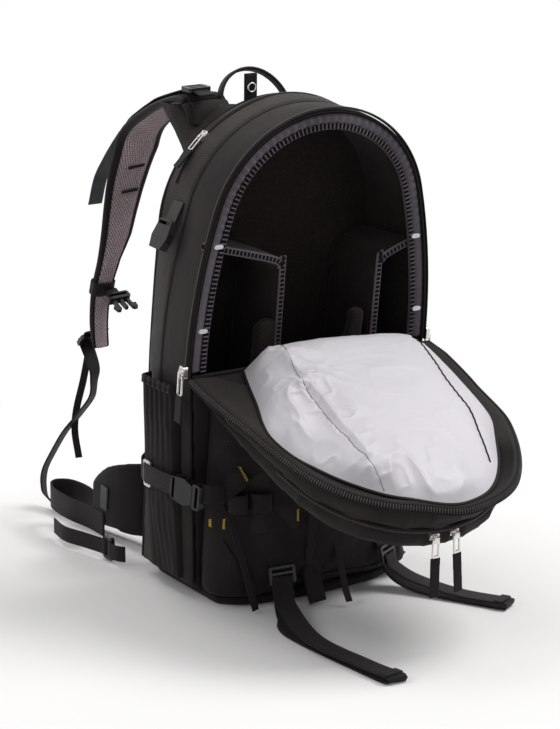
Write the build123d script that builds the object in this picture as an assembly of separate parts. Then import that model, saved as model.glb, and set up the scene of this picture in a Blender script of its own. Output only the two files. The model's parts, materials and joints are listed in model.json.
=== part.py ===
from build123d import *
import math
import os

# Open camera backpack, in millimetres. Z is up, the front faces -Y and the harness is on +Y.
# The origin is the middle of the flat base under the main compartment.

# --- driving dimensions ---------------------------------------------------------------
LEAN = 7.4            # degrees that front and back planes lean forward
HALF_W = 160          # half width of the bag at the lid hinge
FOOT_HALF_W = HALF_W - 23    # half width just above the base
BASE_T = 12           # base panel thickness
HINGE_Z = 284         # height of the lid hinge
TOP_Z = 576           # top of the arch
TOP_R = 140           # radius of the arch over the top
FRONT_Y = -40         # front plane of the main compartment at floor level
BACK_Y = 78           # back plane at floor level
SEAM_Y = 22           # seam between the front and rear gusset
BACK_HALF_W = HALF_W - 18    # half width at the back plane, at the hinge's height
WALL = 3              # fabric wall of the gusset
PAD = 10              # padded insert wall
LID_LEN = 292         # lid from hinge to tip
LID_OPEN = 20.5       # degrees the open lid droops below level
LID_DEPTH = 34        # lid gusset depth at the tip
POCKET_DEPTH = 24     # lid pocket depth at the tip
LID_WALL = 4          # lid fabric and foam
HINGE_GAP = 0.7       # hinge line in front of the front plane
WEB = 1.8             # webbing thickness
STRAP_W = 25          # compression and front webbing width
PAD_T = 13            # shoulder pad thickness
YOKE_T = 9            # padded plate behind the shoulder straps
LID_SLIDERS = (-3.0, 7.5)   # degrees of the two lid pocket sliders from the tip

SIN, COS = math.sin(math.radians(LEAN)), math.cos(math.radians(LEAN))
SHEAR = SIN / COS
HINGE_Y = FRONT_Y - SHEAR * HINGE_Z - HINGE_GAP
DROOP = math.radians(LID_OPEN)
SIDES = (("left", -1), ("right", 1))


# --- helpers ---------------------------------------------------------------------------
def save(shape, name):
    """Writes one node."""
    os.makedirs("parts", exist_ok=True)
    export_step(shape, "parts/" + name + ".step")


def group(*solids):
    """Several separate solids in one node."""
    return Compound(children=[s for shape in solids for s in shape.solids()])


def biggest(shape):
    """The main solid of a cut shape, without crumbs."""
    return max(shape.solids(), key=lambda s: s.volume)


def minus(shape, *cutters):
    """Cuts neighbours away, so that soft pieces touch and don't overlap."""
    for cutter in cutters:
        shape = shape - cutter
    return biggest(shape)


def path_face(start, *steps):
    """Flat face from a start point, line steps (p,) and arc steps (through, p)."""
    edges, here = [], start
    for step in steps:
        if len(step) == 1:
            edges.append(Edge.make_line(here, step[0]))
        else:
            edges.append(Edge.make_three_point_arc(here, step[0], step[1]))
        here = step[-1]
    if math.dist(here, start) > 1e-6:
        edges.append(Edge.make_line(here, start))
    face = Face(Wire(edges))
    return face if face.normal_at().Z > 0 else -face


def polygon(points):
    """Face inside a closed polygon."""
    return path_face(points[0], *[(p,) for p in points[1:]])


def smooth(points, steps=3):
    """Catmull-Rom points through a hand-drawn path."""
    ends = [points[0], *points, points[-1]]
    out = []
    for a, b, c, d in zip(ends, ends[1:], ends[2:], ends[3:]):
        for i in range(steps):
            t = i / steps
            out.append(tuple(
                0.5 * (2 * q + (r - p) * t + (2 * p - 5 * q + 4 * r - s) * t * t
                       + (3 * q - p - 3 * r + s) * t ** 3)
                for p, q, r, s in zip(a, b, c, d)))
    return out + [points[-1]]


def band_outline(points, low, high):
    """Closed outline between two offsets of an open path."""
    sides = ([], [])
    for i, (x, y) in enumerate(points):
        ax, ay = points[max(i - 1, 0)]
        bx, by = points[min(i + 1, len(points) - 1)]
        length = math.hypot(bx - ax, by - ay)
        nx, ny = -(by - ay) / length, (bx - ax) / length
        sides[0].append((x + nx * low, y + ny * low))
        sides[1].append((x + nx * high, y + ny * high))
    return sides[0] + sides[1][::-1]


def ribbon(points, plane, width, low=-WEB / 2, high=WEB / 2):
    """Webbing or padding along a path in a plane, its width along the plane's normal."""
    face = plane * polygon(band_outline(points, low, high))
    return extrude(face, width / 2, both=True)


def side_plane(x):
    """Plane seen from the side: local x is Y and local y is Z."""
    return Plane(origin=(x, 0, 0), x_dir=(0, 1, 0), z_dir=(1, 0, 0))


def lean_plane(y):
    """Leaning plane parallel to the front, crossing the floor at y."""
    return Plane(origin=(0, y, 0), x_dir=(1, 0, 0), z_dir=(0, -COS, -SIN))


def front_slab(face, y0, y1):
    """Front-view face (x, z) made solid between two leaning planes."""
    return extrude(lean_plane(y0) * face, y1 - y0, dir=(0, 1, 0))


def up(x, z):
    """Front-view point on a leaning plane."""
    return (x, z / COS)


def arch_steps(a, h, r):
    """Three-centred arch over (-a, 0) to (a, 0): points for the side arc and the top arc."""
    side = (a * a + (h - r) ** 2 - r * r) / (2 * (a - r))
    angle = math.atan2(h - r, side - a)
    joint = (a - side + side * math.cos(angle), side * math.sin(angle))
    half = (a - side + side * math.cos(angle / 2), side * math.sin(angle / 2))
    return half, joint, (0, h)


def half_at(y):
    """Half width of the bag at the hinge's height: straight to the seam, narrower to the back."""
    share = max(0, y - SEAM_Y) / (BACK_Y - SEAM_Y)
    return HALF_W + (BACK_HALF_W - HALF_W) * share


def arch_x(z):
    """Half width of the front outline above the hinge."""
    h = TOP_Z - HINGE_Z
    side = (HALF_W ** 2 + (h - TOP_R) ** 2 - TOP_R ** 2) / (2 * (HALF_W - TOP_R))
    joint_z = side * math.sin(math.atan2(h - TOP_R, side - HALF_W))
    w = z - HINGE_Z
    if w < joint_z:
        return HALF_W - side + math.sqrt(side ** 2 - w ** 2)
    return math.sqrt(max(TOP_R ** 2 - (w - h + TOP_R) ** 2, 0))


def side_x(z, half=HALF_W):
    """Half width of the bag below the hinge."""
    return FOOT_HALF_W + (half - FOOT_HALF_W) * (z - BASE_T) / (HINGE_Z - BASE_T)


def arch_face(grow, low=BASE_T, half=HALF_W):
    """Front outline of the bag, grown outward, standing on height low."""
    a, h = half + grow, TOP_Z - HINGE_Z + grow
    middle, joint, top = arch_steps(a, h, min(TOP_R, half - 1) + grow)
    foot = side_x(low, half) + grow
    right = [(x, z + HINGE_Z) for x, z in (middle, joint)]
    left = [(-x, z) for x, z in right]
    steps = [(up(foot, low),)]
    steps += [(up(a, HINGE_Z),)] if low < HINGE_Z else []
    steps += [(up(*right[0]), up(*right[1])), (up(0, top[1] + HINGE_Z), up(*left[1])),
              (up(*left[0]), up(-a, HINGE_Z))]
    return path_face(up(-foot, low), *steps)


def arch_loft(grow, y0, y1, low=BASE_T, halves=None):
    """Solid arch between two leaning planes, following the bag's width."""
    h0, h1 = halves or (half_at(y0), half_at(y1))
    return loft([lean_plane(y0) * arch_face(grow, low, h0), lean_plane(y1) * arch_face(grow, low, h1)])


def lid_plane(n=0):
    """Plane of the open lid's rim, n above it; local -y runs out to the tip."""
    normal = (0, -math.sin(DROOP), math.cos(DROOP))
    origin = (0, HINGE_Y + normal[1] * n, HINGE_Z + normal[2] * n)
    return Plane(origin=origin, x_dir=(1, 0, 0), z_dir=normal)


def lid_face(grow, start=0.7):
    """Outline of the lid in its own plane."""
    half, joint, top = arch_steps(HALF_W + grow, LID_LEN + grow, TOP_R + grow)
    right, left = [(x, -w) for x, w in (half, joint)], [(-x, -w) for x, w in (half, joint)]
    edge = HALF_W + grow
    return path_face((-edge, -start), (left[0], left[1]), ((0, -top[1]), right[1]),
                     (right[0], (edge, -start)))


def wedge(near, far, reach=420):
    """Everything in the lid above a plane from depth near at the hinge to far at the tip."""
    def depth(w):
        return -(near + (far - near) * w / LID_LEN)
    face = polygon([(0, 30), (reach, 30), (reach, depth(reach)), (0, depth(0))])
    plane = Plane(origin=(0, HINGE_Y, HINGE_Z), x_dir=(0, -math.cos(DROOP), -math.sin(DROOP)),
                  z_dir=(-1, 0, 0))
    return extrude(plane * face, 300, both=True)


# --- shell of the bag ------------------------------------------------------------------
def gusset(y0, y1):
    """Arched fabric wall between two leaning planes."""
    return arch_loft(0, y0, y1) - arch_loft(-WALL, y0, y1)


def base_panel():
    """Flat bottom panel, rounded at the front under the pocket."""
    half, back, front = FOOT_HALF_W - 12, BACK_Y - 8, -92
    face = path_face((-half, back), ((half, back),), ((half, -70),),
                     ((98, front), (70, front - 8)), ((0, front - 14), (-70, front - 8)),
                     ((-98, front), (-half, -70)))
    plate = extrude(face, BASE_T)
    return fillet(plate.faces().sort_by(Axis.Z)[0].edges(), 5)


def front_wall():
    """Lower front panel between the gusset walls."""
    low, high = side_x(BASE_T) - WALL - 0.1, HALF_W - WALL - 0.1
    face = polygon([up(-low, BASE_T), up(low, BASE_T), up(high, HINGE_Z), up(-high, HINGE_Z)])
    return front_slab(face, FRONT_Y, FRONT_Y + 4)


def padded_insert():
    """Foam insert: arched wall, floor and back, open to the front."""
    front, rear = FRONT_Y + 4.2, BACK_Y - 12
    halves = (HALF_W, half_at(rear))
    outer = arch_loft(-WALL - 0.1, front, rear, BASE_T, halves)
    hollow = outer - arch_loft(-WALL - PAD, front, rear - 4, BASE_T + PAD, halves)
    return minus(hollow, gusset(SEAM_Y, BACK_Y))


def insert_edging():
    """Ladder trim along the insert's front edge."""
    ring = arch_face(-WALL - PAD + 4, HINGE_Z) - arch_face(-WALL - PAD - 0.5, HINGE_Z)
    return front_slab(ring, FRONT_Y + 2, FRONT_Y + 4.1)


def back_panel():
    """Stiff foam board behind the insert."""
    board = front_slab(arch_face(-WALL - 0.1, BASE_T, BACK_HALF_W), BACK_Y - 11.9, BACK_Y)
    return minus(board, gusset(SEAM_Y, BACK_Y))


def zip_ring(y0, y1, out, low):
    """Zip chain standing proud of the gusset."""
    return front_slab(arch_face(out, low) - arch_face(0, low), y0, y1)


def top_zip():
    """Zip over the back of the arch, between the two shoulders."""
    y0, y1 = BACK_Y - 24, BACK_Y - 16
    ring = arch_loft(2.5, y0, y1, HINGE_Z) - arch_loft(0, y0, y1, HINGE_Z)
    return ring & Pos(0, 0, 545) * Box(400, 400, 110)


# --- dividers ---------------------------------------------------------------------------
DIVIDER_Y = (FRONT_Y + 6, BACK_Y - 16.2)
SHELVES = {  # wall end, corner and foot of each divider's upper face, in the front view
    "left": ((-152, 440), (-51, 411), (-38, BASE_T + PAD)),
    "right": ((152, 418), (98, 398), (86, BASE_T + PAD)),
}


def divider(name, walls, cradle):
    """L-shaped padded divider: a shelf from the wall and a leg down to the floor."""
    (wx, wz), (cx, cz), (fx, fz) = SHELVES[name]
    side = -1 if name == "left" else 1
    t, r = 9, 16
    slope = (wz - cz) / abs(wx - cx)
    knee = (cx, cz)
    turn = (fx, cz - r)
    through = (fx + side * r * 0.32, cz - r * 0.28)
    shelf_low = (cx + side * t * 0.5, cz - t + slope * t * 0.5)
    leg_in = (fx + side * t, cz - r - t * 0.6)
    inner = (fx + side * (t + r * 0.2), cz - r * 0.28 - t * 0.9)
    points = [up(*p) for p in (knee, through, turn, (fx, fz + 0.2), (fx + side * t, fz + 0.2),
                               leg_in, inner, shelf_low, (wx, wz - t))]
    face = path_face(up(wx, wz), (points[0],), (points[1], points[2]), (points[3],), (points[4],),
                     (points[5],), (points[6], points[7]), (points[8],))
    return minus(front_slab(face, *DIVIDER_Y), walls, cradle)


def lens_cradle():
    """Low pad with a round notch across the centre bay."""
    foot, top, thick = 236, 332, 15
    face = path_face(up(-70, foot), (up(76, foot),), (up(76, top - 16),),
                     (up(68, top), up(58, top - 8)), (up(4, top - 60), up(-38, top - 8)),
                     (up(-54, top + 3), up(-70, top - 18)))
    return front_slab(face, FRONT_Y + 4.3, FRONT_Y + 4.3 + thick)


STUDS = ((-1, 433), (-1, 335), (1, 413), (1, 322))    # side and height of each stud
STUD_INSET = 12.5     # from the bag's outline to a stud's middle


def divider_studs():
    """White plastic studs that pin the divider tabs at the walls."""
    places = [(side * (arch_x(z) - STUD_INSET), z) for side, z in STUDS]
    pill = SlotOverall(11, 5).face()
    pills = [front_slab(Pos(*up(x, z)) * pill, FRONT_Y - 1, FRONT_Y + 2) for x, z in places]
    return group(*pills)


# --- pockets on the outside -------------------------------------------------------------
def front_pocket():
    """Bulging pocket on the lower front."""
    plan = path_face((-126, -38), ((-130, -88), (-96, -101)), ((0, -124), (96, -101)),
                     ((130, -88), (126, -38)))
    side = path_face((FRONT_Y, BASE_T + 0.1), ((-101, BASE_T + 0.1),), ((-128, 70), (-122, 150)),
                     ((-108, 222), (-90, 244)), ((-70, 254),), ((-40, 254),))
    block = extrude(plan, 300) & extrude(side_plane(0) * side, 200, both=True)
    keep = front_slab(Pos(0, 200) * Rectangle(500, 800).face(), -300, FRONT_Y - 0.1)
    return biggest(block & keep)


def pocket_flap():
    """Small flap on the pocket's left front."""
    face = path_face((-96, 92), ((-42, 92),), ((-38, 150),), ((-60, 168), (-98, 158)))
    flap = extrude(Plane(origin=(0, -150, 0), x_dir=(1, 0, 0), z_dir=(0, -1, 0)) * face, -60)
    skin = Pos(0, -3.5, 0) * POCKET
    return biggest((flap & skin) - POCKET)


def side_pocket(side):
    """Open-topped stretch pocket on the side, standing off the gusset."""
    z0, z1, out, skin = 22, 268, 13, 2.5

    def outline(d, low, high):
        return polygon([up(side_x(low) + 0.1, low), up(side_x(low) + d * 0.6, low),
                        up(side_x((low + high) / 2) + d, (low + high) / 2),
                        up(side_x(high) + d, high), up(side_x(high) + 0.1, high)])
    body = front_slab(outline(out, z0, z1), FRONT_Y + 16, BACK_Y - 30)
    hollow = front_slab(outline(out - skin, z0 + 4, z1 + 20), FRONT_Y + 19, BACK_Y - 33)
    shell = body - hollow
    return mirror(shell, Plane.YZ) if side < 0 else shell


# --- harness ----------------------------------------------------------------------------
STRAP_X = 78             # middle of a shoulder strap's root
LOCK_X = STRAP_X + 8
LOCK_OUT = (36, 5)       # lower ladder-lock from the pad's end, in the side view
LOCK_DIR = (0.75, -0.66)
STRAP_PATHS = {  # side view of each pad's middle: the left one stands up, the right one sags
    "left": smooth([(14, 548), (22, 566), (44, 575), (90, 563), (137, 542), (180, 516), (203, 484),
                    (220, 447), (230, 410), (237, 376), (246, 343), (259, 312), (266, 286),
                    (268, 255), (264, 226)], 2),
    "right": smooth([(14, 518), (24, 527), (46, 530), (88, 521), (128, 502), (164, 476), (188, 446),
                     (204, 412), (214, 378), (222, 346), (231, 316), (240, 290), (245, 266),
                     (246, 238), (242, 210)], 2),
}


def shoulder_pad(name):
    """Curved padded strap, tapering to its lower end."""
    path = STRAP_PATHS[name]
    pad = ribbon(path, side_plane(0), 400, -PAD_T / 2, PAD_T / 2)
    face = path_face((STRAP_X - 28, 600), ((STRAP_X + 28, 600),), ((STRAP_X + 28, 480),),
                     ((STRAP_X + 26, 330), (STRAP_X + 19, 190)), ((STRAP_X - 6, 190),),
                     ((STRAP_X - 14, 330), (STRAP_X - 28, 480)))
    cut = extrude(Plane(origin=(0, 0, 0), x_dir=(1, 0, 0), z_dir=(0, -1, 0)) * face, -500)
    pad = minus(pad & cut, harness_yoke(), back_panel())
    return mirror(pad, Plane.YZ) if name == "left" else pad


def harness_yoke():
    """Padded plate where the shoulder straps leave the back."""
    face = path_face(up(-112, 470), (up(112, 470),), (up(100, 545),), (up(0, 563), up(-100, 545)))
    return front_slab(face, BACK_Y + 0.1, BACK_Y + YOKE_T)


def back_pads():
    """Two ventilated back pads with a channel between them."""
    pads = []
    for _, side in SIDES:
        face = path_face(up(side * 24, 190), (up(side * 118, 190),),
                         (up(side * 116, 330), up(side * 96, 455)), (up(side * 24, 455),))
        pads.append(front_slab(face, BACK_Y + 0.1, BACK_Y + 13))
    return group(*pads)


def lumbar_pad():
    """Wide lower-back pad that carries the waist wings."""
    half = LUMBAR_HALF
    face = path_face(up(8 - half, 34), (up(half - 8, 34),), (up(half, 90), up(half - 14, 160)),
                     (up(14 - half, 160),), (up(-half, 90), up(8 - half, 34)))
    return front_slab(face, BACK_Y + 0.1, BACK_Y + 24)


def pad_end(name):
    """Lower end of a shoulder pad in the side view."""
    return STRAP_PATHS[name][-1]


def load_lifters():
    """Webbing from the top of the pack over each pad, ending in a free tail."""
    straps = []
    for name, side in SIDES:
        run = [(y + 1, z + PAD_T / 2 + 1.2) for y, z in STRAP_PATHS[name][4:12]]
        (y0, z0), (y1, z1) = run[0], run[-1]
        path = [(3, z0 + 3)] + run + [(y1 + 26, z1 - 26), (y1 + 52, z1 - 60), (y1 + 64, z1 - 98)]
        strap = ribbon(path, side_plane(side * LOCK_X), 20)
        straps.append(minus(strap, shoulder_pad(name), harness_yoke(), back_panel(), gusset(SEAM_Y, BACK_Y)))
    return group(*straps)


def shoulder_webbing():
    """Webbing from each pad's end through the ladder-lock, in a bow down to the foot of the pack."""
    straps = []
    for name, side in SIDES:
        y, z = pad_end(name)
        plane = side_plane(side * LOCK_X)
        lock = ((y + LOCK_OUT[0], z + LOCK_OUT[1]), LOCK_DIR)
        root = [in_lock(*lock, *p) for p in LOCK_ROOT]
        link = ribbon([(y + 6, z + 23), (y + 16, z + 20.5)] + root[::-1], plane, 20)
        straps.append(minus(link, shoulder_pad(name)))
        threaded = [in_lock(*lock, *p) for p in LOCK_FRONT]
        bow = smooth([threaded[-1], (y + 52, z - 24), (y + 56, z - 60), (y + 76, z - 110), (y + 88, z - 150),
                      (y + 74, 46), (y + 26, 24), (220, 16), (160, 16), (110, 22), (84, 30)], 2)
        straps.append(ribbon(threaded[:-1] + bow, plane, 20))
    return group(*straps)


def in_lock(centre, along, x, n):
    """Point of a lock's own frame, in the view that the strap is drawn in."""
    length = math.hypot(*along)
    ax, az = along[0] / length, along[1] / length
    return (centre[0] + x * ax - n * az, centre[1] + x * az + n * ax)


LOCK_FRONT = ((1.5, 0.3), (1.8, 3.2), (4.5, 4.2), (12, 3.9))     # free ply, over the lock's face
LOCK_BACK = ((1.5, -1.6), (2.4, -3.4), (4.5, -4.0), (12, -3.8))  # ply behind the lock
LOCK_ROOT = ((-5.5, 0.2), (-5.8, 2.6), (-7.6, 4.0), (-12, 3.8))  # fixed ply round the top bar
LOCK_ANCHOR = ((-5.5, -0.2), (-5.8, -2.6), (-7.6, -4.0), (-12, -4.4))


def ladder_lock(width=20):
    """Ladder-lock in its own frame: webbing runs along X, width along Y."""
    w = width + 9
    plate = fillet(Box(21, w, 5).edges().filter_by(Axis.Z), 3)
    for x in (-5.5, 1.5):
        plate -= Pos(x, 0, 0) * Box(4, width + 1.5, 10)
    return biggest(plate - Pos(7.5, 0, 2) * Rot(0, 25, 0) * Box(5, width + 1.5, 4))


# --- side-release buckle ----------------------------------------------------------------
BUCKLE_L, BUCKLE_W, BUCKLE_T = 34, STRAP_W + 8, 10


def buckle_socket():
    """Female half: hollow body with side windows and a webbing bar; mouth at +X."""
    half = BUCKLE_W / 2
    face = path_face((-12, -half + 3), ((8, -half),), ((22, -half + 5),), ((22, half - 5),),
                     ((8, half),), ((-12, half - 3),), ((-14, 0), (-12, -half + 3)))
    body = extrude(face, BUCKLE_T / 2, both=True)
    body -= Pos(10, 0, 0) * Box(26, BUCKLE_W - 10, BUCKLE_T - 4)
    body -= Pos(7, 0, 0) * Box(11, BUCKLE_W + 10, BUCKLE_T - 3.6)
    body -= Pos(-8.5, 0, 0) * Box(4, STRAP_W, 20)
    return biggest(body)


def buckle_prongs():
    """Male half: two spring prongs and a guide pin on a webbing bar; enters the socket from +X."""
    inner = (BUCKLE_W - 10) / 2 - 0.3
    base = fillet(Box(12, BUCKLE_W - 2, BUCKLE_T - 1).edges().filter_by(Axis.Z), 3)
    base = Pos(28.3, 0, 0) * (base - Pos(1, 0, 0) * Box(4.5, STRAP_W, 20))
    pin = Pos(14, 0, 0) * Box(18, 4, BUCKLE_T - 5)
    solids = base + pin
    for side in (-1, 1):
        arm = polygon([(23, side * inner), (23, side * (inner - 4)), (4, side * (inner - 3.4)),
                       (2, side * (inner - 1)), (2.6, side * (inner + 3)), (11, side * (inner + 4.4)),
                       (11.6, side * inner)])
        solids += extrude(arm, (BUCKLE_T - 5.6) / 2, both=True)
    return biggest(solids)


def at(origin, x_dir, z_dir):
    """Location of a piece drawn in its own frame."""
    return Plane(origin=origin, x_dir=x_dir, z_dir=z_dir).location


BUCKLE_Z = 148
BUCKLE_AT = (-166, -66, BUCKLE_Z)


def mirrored(shape):
    """Left and right copies of a left-hand shape."""
    return group(shape, mirror(shape, Plane.YZ))


def compression_straps():
    """Side webbing from the back edge, over the side pocket, through the closed buckle."""
    plan = Plane(origin=(0, 0, BUCKLE_Z), x_dir=(1, 0, 0), z_dir=(0, 0, 1))
    rear = ribbon(smooth([(-140, 56), (-147, 49), (-157, 39), (-163.5, 30), (-166.5, 18), (-167, -20),
                          (-167.2, -57)], 2), plan, STRAP_W - 1)
    front = ribbon(smooth([(-159.5, -92), (-152, -104), (-139, -106), (-128, -100)], 2), plan, STRAP_W - 1)
    halves = [placed_buckle(buckle_socket()), placed_buckle(buckle_prongs())]
    rear = minus(rear, side_pocket(-1), gusset(SEAM_Y, BACK_Y), *halves)
    front = minus(front, POCKET, *halves)
    return group(mirrored(rear), mirrored(front))


def placed_buckle(shape):
    """A buckle half on the left side, pointing forward along the strap."""
    return at(BUCKLE_AT, (0.22, -0.975, -0.12), (-1, -0.23, 0)) * shape


# --- webbing on the front ---------------------------------------------------------------
FLOOR_STRAPS = ((-66, -5, 268), (74, 30, 168))    # x, turn in plan and reach from the pocket
FLOOR_LOCK = ((12.5, 43), (0.22, -0.97))          # lock's middle and direction in the strap's view


def strap_plane(x, turn):
    """Upright plane along a front strap: local x outward along the floor, local y up."""
    a = math.radians(turn)
    return Plane(origin=(x, -112, 0), x_dir=(math.sin(a), -math.cos(a), 0),
                 z_dir=(-math.cos(a), -math.sin(a), 0))


def strap_bend(turn, reach):
    """Plan of a front strap: straight, or swung out and back for the long one."""
    if turn > 0:
        return [(0, 0), (reach + 20, 0)]
    return [(-4, 0), (14, 0), (60, -15), (100, -25), (145, -22), (188, -13), (reach + 20, 12)]


def front_straps():
    """Two doubled straps from the pocket's foot out over the floor, through their ladder-locks."""
    straps = []
    for x, turn, reach in FLOOR_STRAPS:
        plane = strap_plane(x, turn)
        back = [in_lock(*FLOOR_LOCK, *p) for p in LOCK_BACK]
        front = [in_lock(*FLOOR_LOCK, *p) for p in LOCK_FRONT]
        lower = [back[-1], (17, 22), (30, 12), (54, 5), (98, 2.4), (reach - 30, 2.4), (reach, 2.4)]
        upper = [(reach + 3, 5), (reach, 8.4), (reach - 60, 9), (reach / 2, 12), (46, 18), (24, 27), front[-1]]
        path = back[:-1] + smooth(lower + upper, 2) + front[-2::-1]
        side = ribbon(path, plane, 160, -0.8, 0.8)
        plan = band_outline(smooth(strap_bend(turn, reach)), -STRAP_W / 2, STRAP_W / 2)
        floor = Plane(origin=plane.origin, x_dir=plane.x_dir, z_dir=(0, 0, 1))
        straps.append(biggest(side & extrude(floor * polygon(plan), 120)))
        anchor = [in_lock(*FLOOR_LOCK, *p) for p in LOCK_ANCHOR] + [(-2, 66)]
        straps.append(minus(ribbon(anchor, plane, STRAP_W, -0.8, 0.8), POCKET))
    return group(*straps)


def strap_tails():
    """Two narrow loose ends hanging in front of the pocket."""
    left = ribbon(smooth([(-92, 118), (-106, 100), (-112, 60), (-108, 20), (-106, 5)], 2),
                  side_plane(-118), 9, -0.7, 0.7)
    mid = ribbon([(-122.5, 94), (-126.5, 86), (-132, 60), (-136, 24), (-137, 5)], side_plane(6), 9, -0.7, 0.7)
    return [minus(left, POCKET), minus(mid, POCKET)]


def side_loops():
    """Bar-tacked webbing loops on the left front of the pocket."""
    plan = Plane(origin=(0, 0, 132), x_dir=(1, 0, 0), z_dir=(0, 0, 1))
    loops = []
    for points in (((-120, -95), (-123, -104), (-116, -111), (-106, -112), (-102, -98)),
                   ((-97, -99), (-98, -112), (-89, -119), (-78, -119), (-74, -108))):
        loops.append(minus(ribbon(smooth(points, 2), plan, 22), POCKET, FLAP))
    return loops


# --- zip sliders and pulls --------------------------------------------------------------
BRIDGE_Z = 4.9          # centre of a slider's bridge bar above the slider's middle
CROSS_Z = 3.7           # centre of a pull's cross bar under the bridge
SLIDER_H = 5


def slider_body(length, width):
    """Zip slider in its own frame: travel along X, outward +Z, with a bridge over the top."""
    body = Box(length, width, SLIDER_H)
    body = fillet(body.edges().filter_by(Axis.Z), 3)
    nose = Pos(length / 2 + 2, 0, -0.6) * Box(12, 3, 2)
    body = body - nose
    for side in (-1, 1):
        body += Pos(side * 4.2, 0, SLIDER_H / 2 + 1.7) * Box(1.4, 2.4, 3.6)
    bar = Pos(0, 0, BRIDGE_Z + 0.7) * Rot(0, 90, 0) * Cylinder(0.7, 9.4)
    return body + bar


def frame_pull(length, width, wire=1.8):
    """Wire frame that hangs along -X from a cross bar under the bridge."""
    plate = Pos(-length / 2, 0, 0) * Box(length, width, wire)
    plate = fillet(plate.edges().filter_by(Axis.Z), 1.6)
    plate -= Pos(-(length - wire) / 2, 0, 0) * Box(length - wire + 2, width - 2 * wire, 10)
    return plate + Rot(90, 0, 0) * Cylinder(wire / 2, width - wire)


def sleeve_pull(length, width, t=1.8):
    """Flat pull that hangs along -Y from a sleeve round the bridge bar."""
    plate = Pos(0, -length / 2, 0) * Box(width, length, t)
    plate = fillet(plate.edges().filter_by(Axis.Z), 1.6)
    plate -= Pos(0, -length / 2 - 1.5, 0) * Box(width - 3.4, length - 8, 10)
    plate -= Pos(0, 0, 0) * Box(20, 3.2, 10)
    sleeve = Rot(0, 90, 0) * (Cylinder(1.9, 6) - Cylinder(1.05, 10))
    return plate + (sleeve - Rot(0, 90, 0) * Cylinder(1.05, 40))


def tab_strip(start, length, width, t=2.6):
    """Folded fabric tab below a pull, along -X."""
    return Pos(-start - length / 2, 0, 0) * Box(length, width, t)


MAIN_L, MAIN_PULL_L, MAIN_TAB_L = 15, 27, 34
MAIN_X = -(HALF_W + 3.5 + SLIDER_H / 2)
MAIN_Z = 288


def main_place(out=0.0):
    """Left main slider: X up along the zip, Z outward; out moves outward."""
    return at((MAIN_X - out, FRONT_Y + 3.5 - SHEAR * MAIN_Z, MAIN_Z), (0, -SIN, COS), (-1, 0, 0))


TOP_ANGLE = math.radians(134)
TOP_SLIDER_Y = BACK_Y - 20


TOP_L, TOP_PULL_L, TOP_TAB_L = 14, 22, 26


def top_place(radius_out):
    """Place on the arch over the top at the parked slider, its X along the zip."""
    r = TOP_R + radius_out
    x = r * math.cos(TOP_ANGLE)
    z = TOP_Z - TOP_R + r * math.sin(TOP_ANGLE)
    along = (math.sin(TOP_ANGLE), 0, -math.cos(TOP_ANGLE))
    out = (math.cos(TOP_ANGLE), 0, math.sin(TOP_ANGLE))
    return at((x, TOP_SLIDER_Y - SHEAR * z, z), along, out)


# --- lid --------------------------------------------------------------------------------
def lid_block(grow, near, far):
    """Solid lid volume from the rim down to a slanted plane."""
    return extrude(lid_plane() * lid_face(grow), -80) & wedge(near, far)


def lid_shell():
    """Tray of the lid: front panel and tapering gusset."""
    tray = lid_block(0, 2.2, LID_DEPTH)
    inner = extrude(lid_plane(1) * lid_face(-LID_WALL, 8), -80) & wedge(0.2, LID_DEPTH - LID_WALL)
    return biggest(tray - inner)


def lid_lining():
    """Padded satin lining: fills the tray and domes above the rim."""
    fill = extrude(lid_plane() * lid_face(-LID_WALL - 0.2, 9), -80) & wedge(0, LID_DEPTH - LID_WALL - 0.2)
    dome = loft([lid_plane(-0.5) * lid_face(-8, 10), lid_plane(14) * lid_face(-24, 20)])
    cap = loft([lid_plane(13.9) * lid_face(-24.2, 20), lid_plane(24) * lid_face(-62, 44)])
    return biggest(fill + dome + cap)


def lid_zip():
    """Zip chain around the rim."""
    ring = lid_face(3.5, 6) - lid_face(0.05, 0)
    return biggest(extrude(lid_plane(-0.2) * ring, -6))


def lid_pocket():
    """Flat pocket on the lid's outer face."""
    block = extrude(lid_plane() * lid_face(-5, 70), -90)
    return biggest((block & wedge(3, LID_DEPTH + POCKET_DEPTH)) - wedge(2.4, LID_DEPTH + 0.2))


ZIP_TILT = math.atan((LID_DEPTH - 2.2) / LID_LEN)
ZIP_R = TOP_R + 1.2


def zip_plane():
    """Plane of the lid pocket zip, its origin on the arc's centre; local -y runs to the tip."""
    angle = DROOP + ZIP_TILT
    w = (LID_LEN - TOP_R) / math.cos(ZIP_TILT)
    normal = (0, -math.sin(angle), math.cos(angle))
    down = 2.2 + 4.4
    origin = (0, HINGE_Y - w * math.cos(angle) - normal[1] * down,
              HINGE_Z - w * math.sin(angle) - normal[2] * down)
    return Plane(origin=origin, x_dir=(1, 0, 0), z_dir=normal)


def lid_pocket_zip():
    """Arc of zip chain round the tip of the lid pocket."""
    sweep = 62
    reach = 400
    ring = Circle(ZIP_R + 2.6) - Circle(ZIP_R - 7)
    side = reach * math.tan(math.radians(sweep))
    fan = polygon([(0, 0), (-side, -reach), (side, -reach)])
    ring = extrude(ring, 2.2, both=True) & extrude(fan, 5, both=True)
    return minus(zip_plane().location * ring, LID_SHELL, LID_POCKET)


LID_SLIDER_L, LID_PULL_L, LID_TAB_L = 12, 22, 46
LID_SLIDER_R = ZIP_R + 2.9 + SLIDER_H / 2


def lid_slider_place(angle, out=0.0):
    """Frame of a lid slider: X along the arc, Z outward, out further from the arc's centre."""
    a, r = math.radians(angle), LID_SLIDER_R + out
    spot = at((r * math.sin(a), -r * math.cos(a), 0), (math.cos(a), math.sin(a), 0),
              (math.sin(a), -math.cos(a), 0))
    return zip_plane().location * spot


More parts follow.
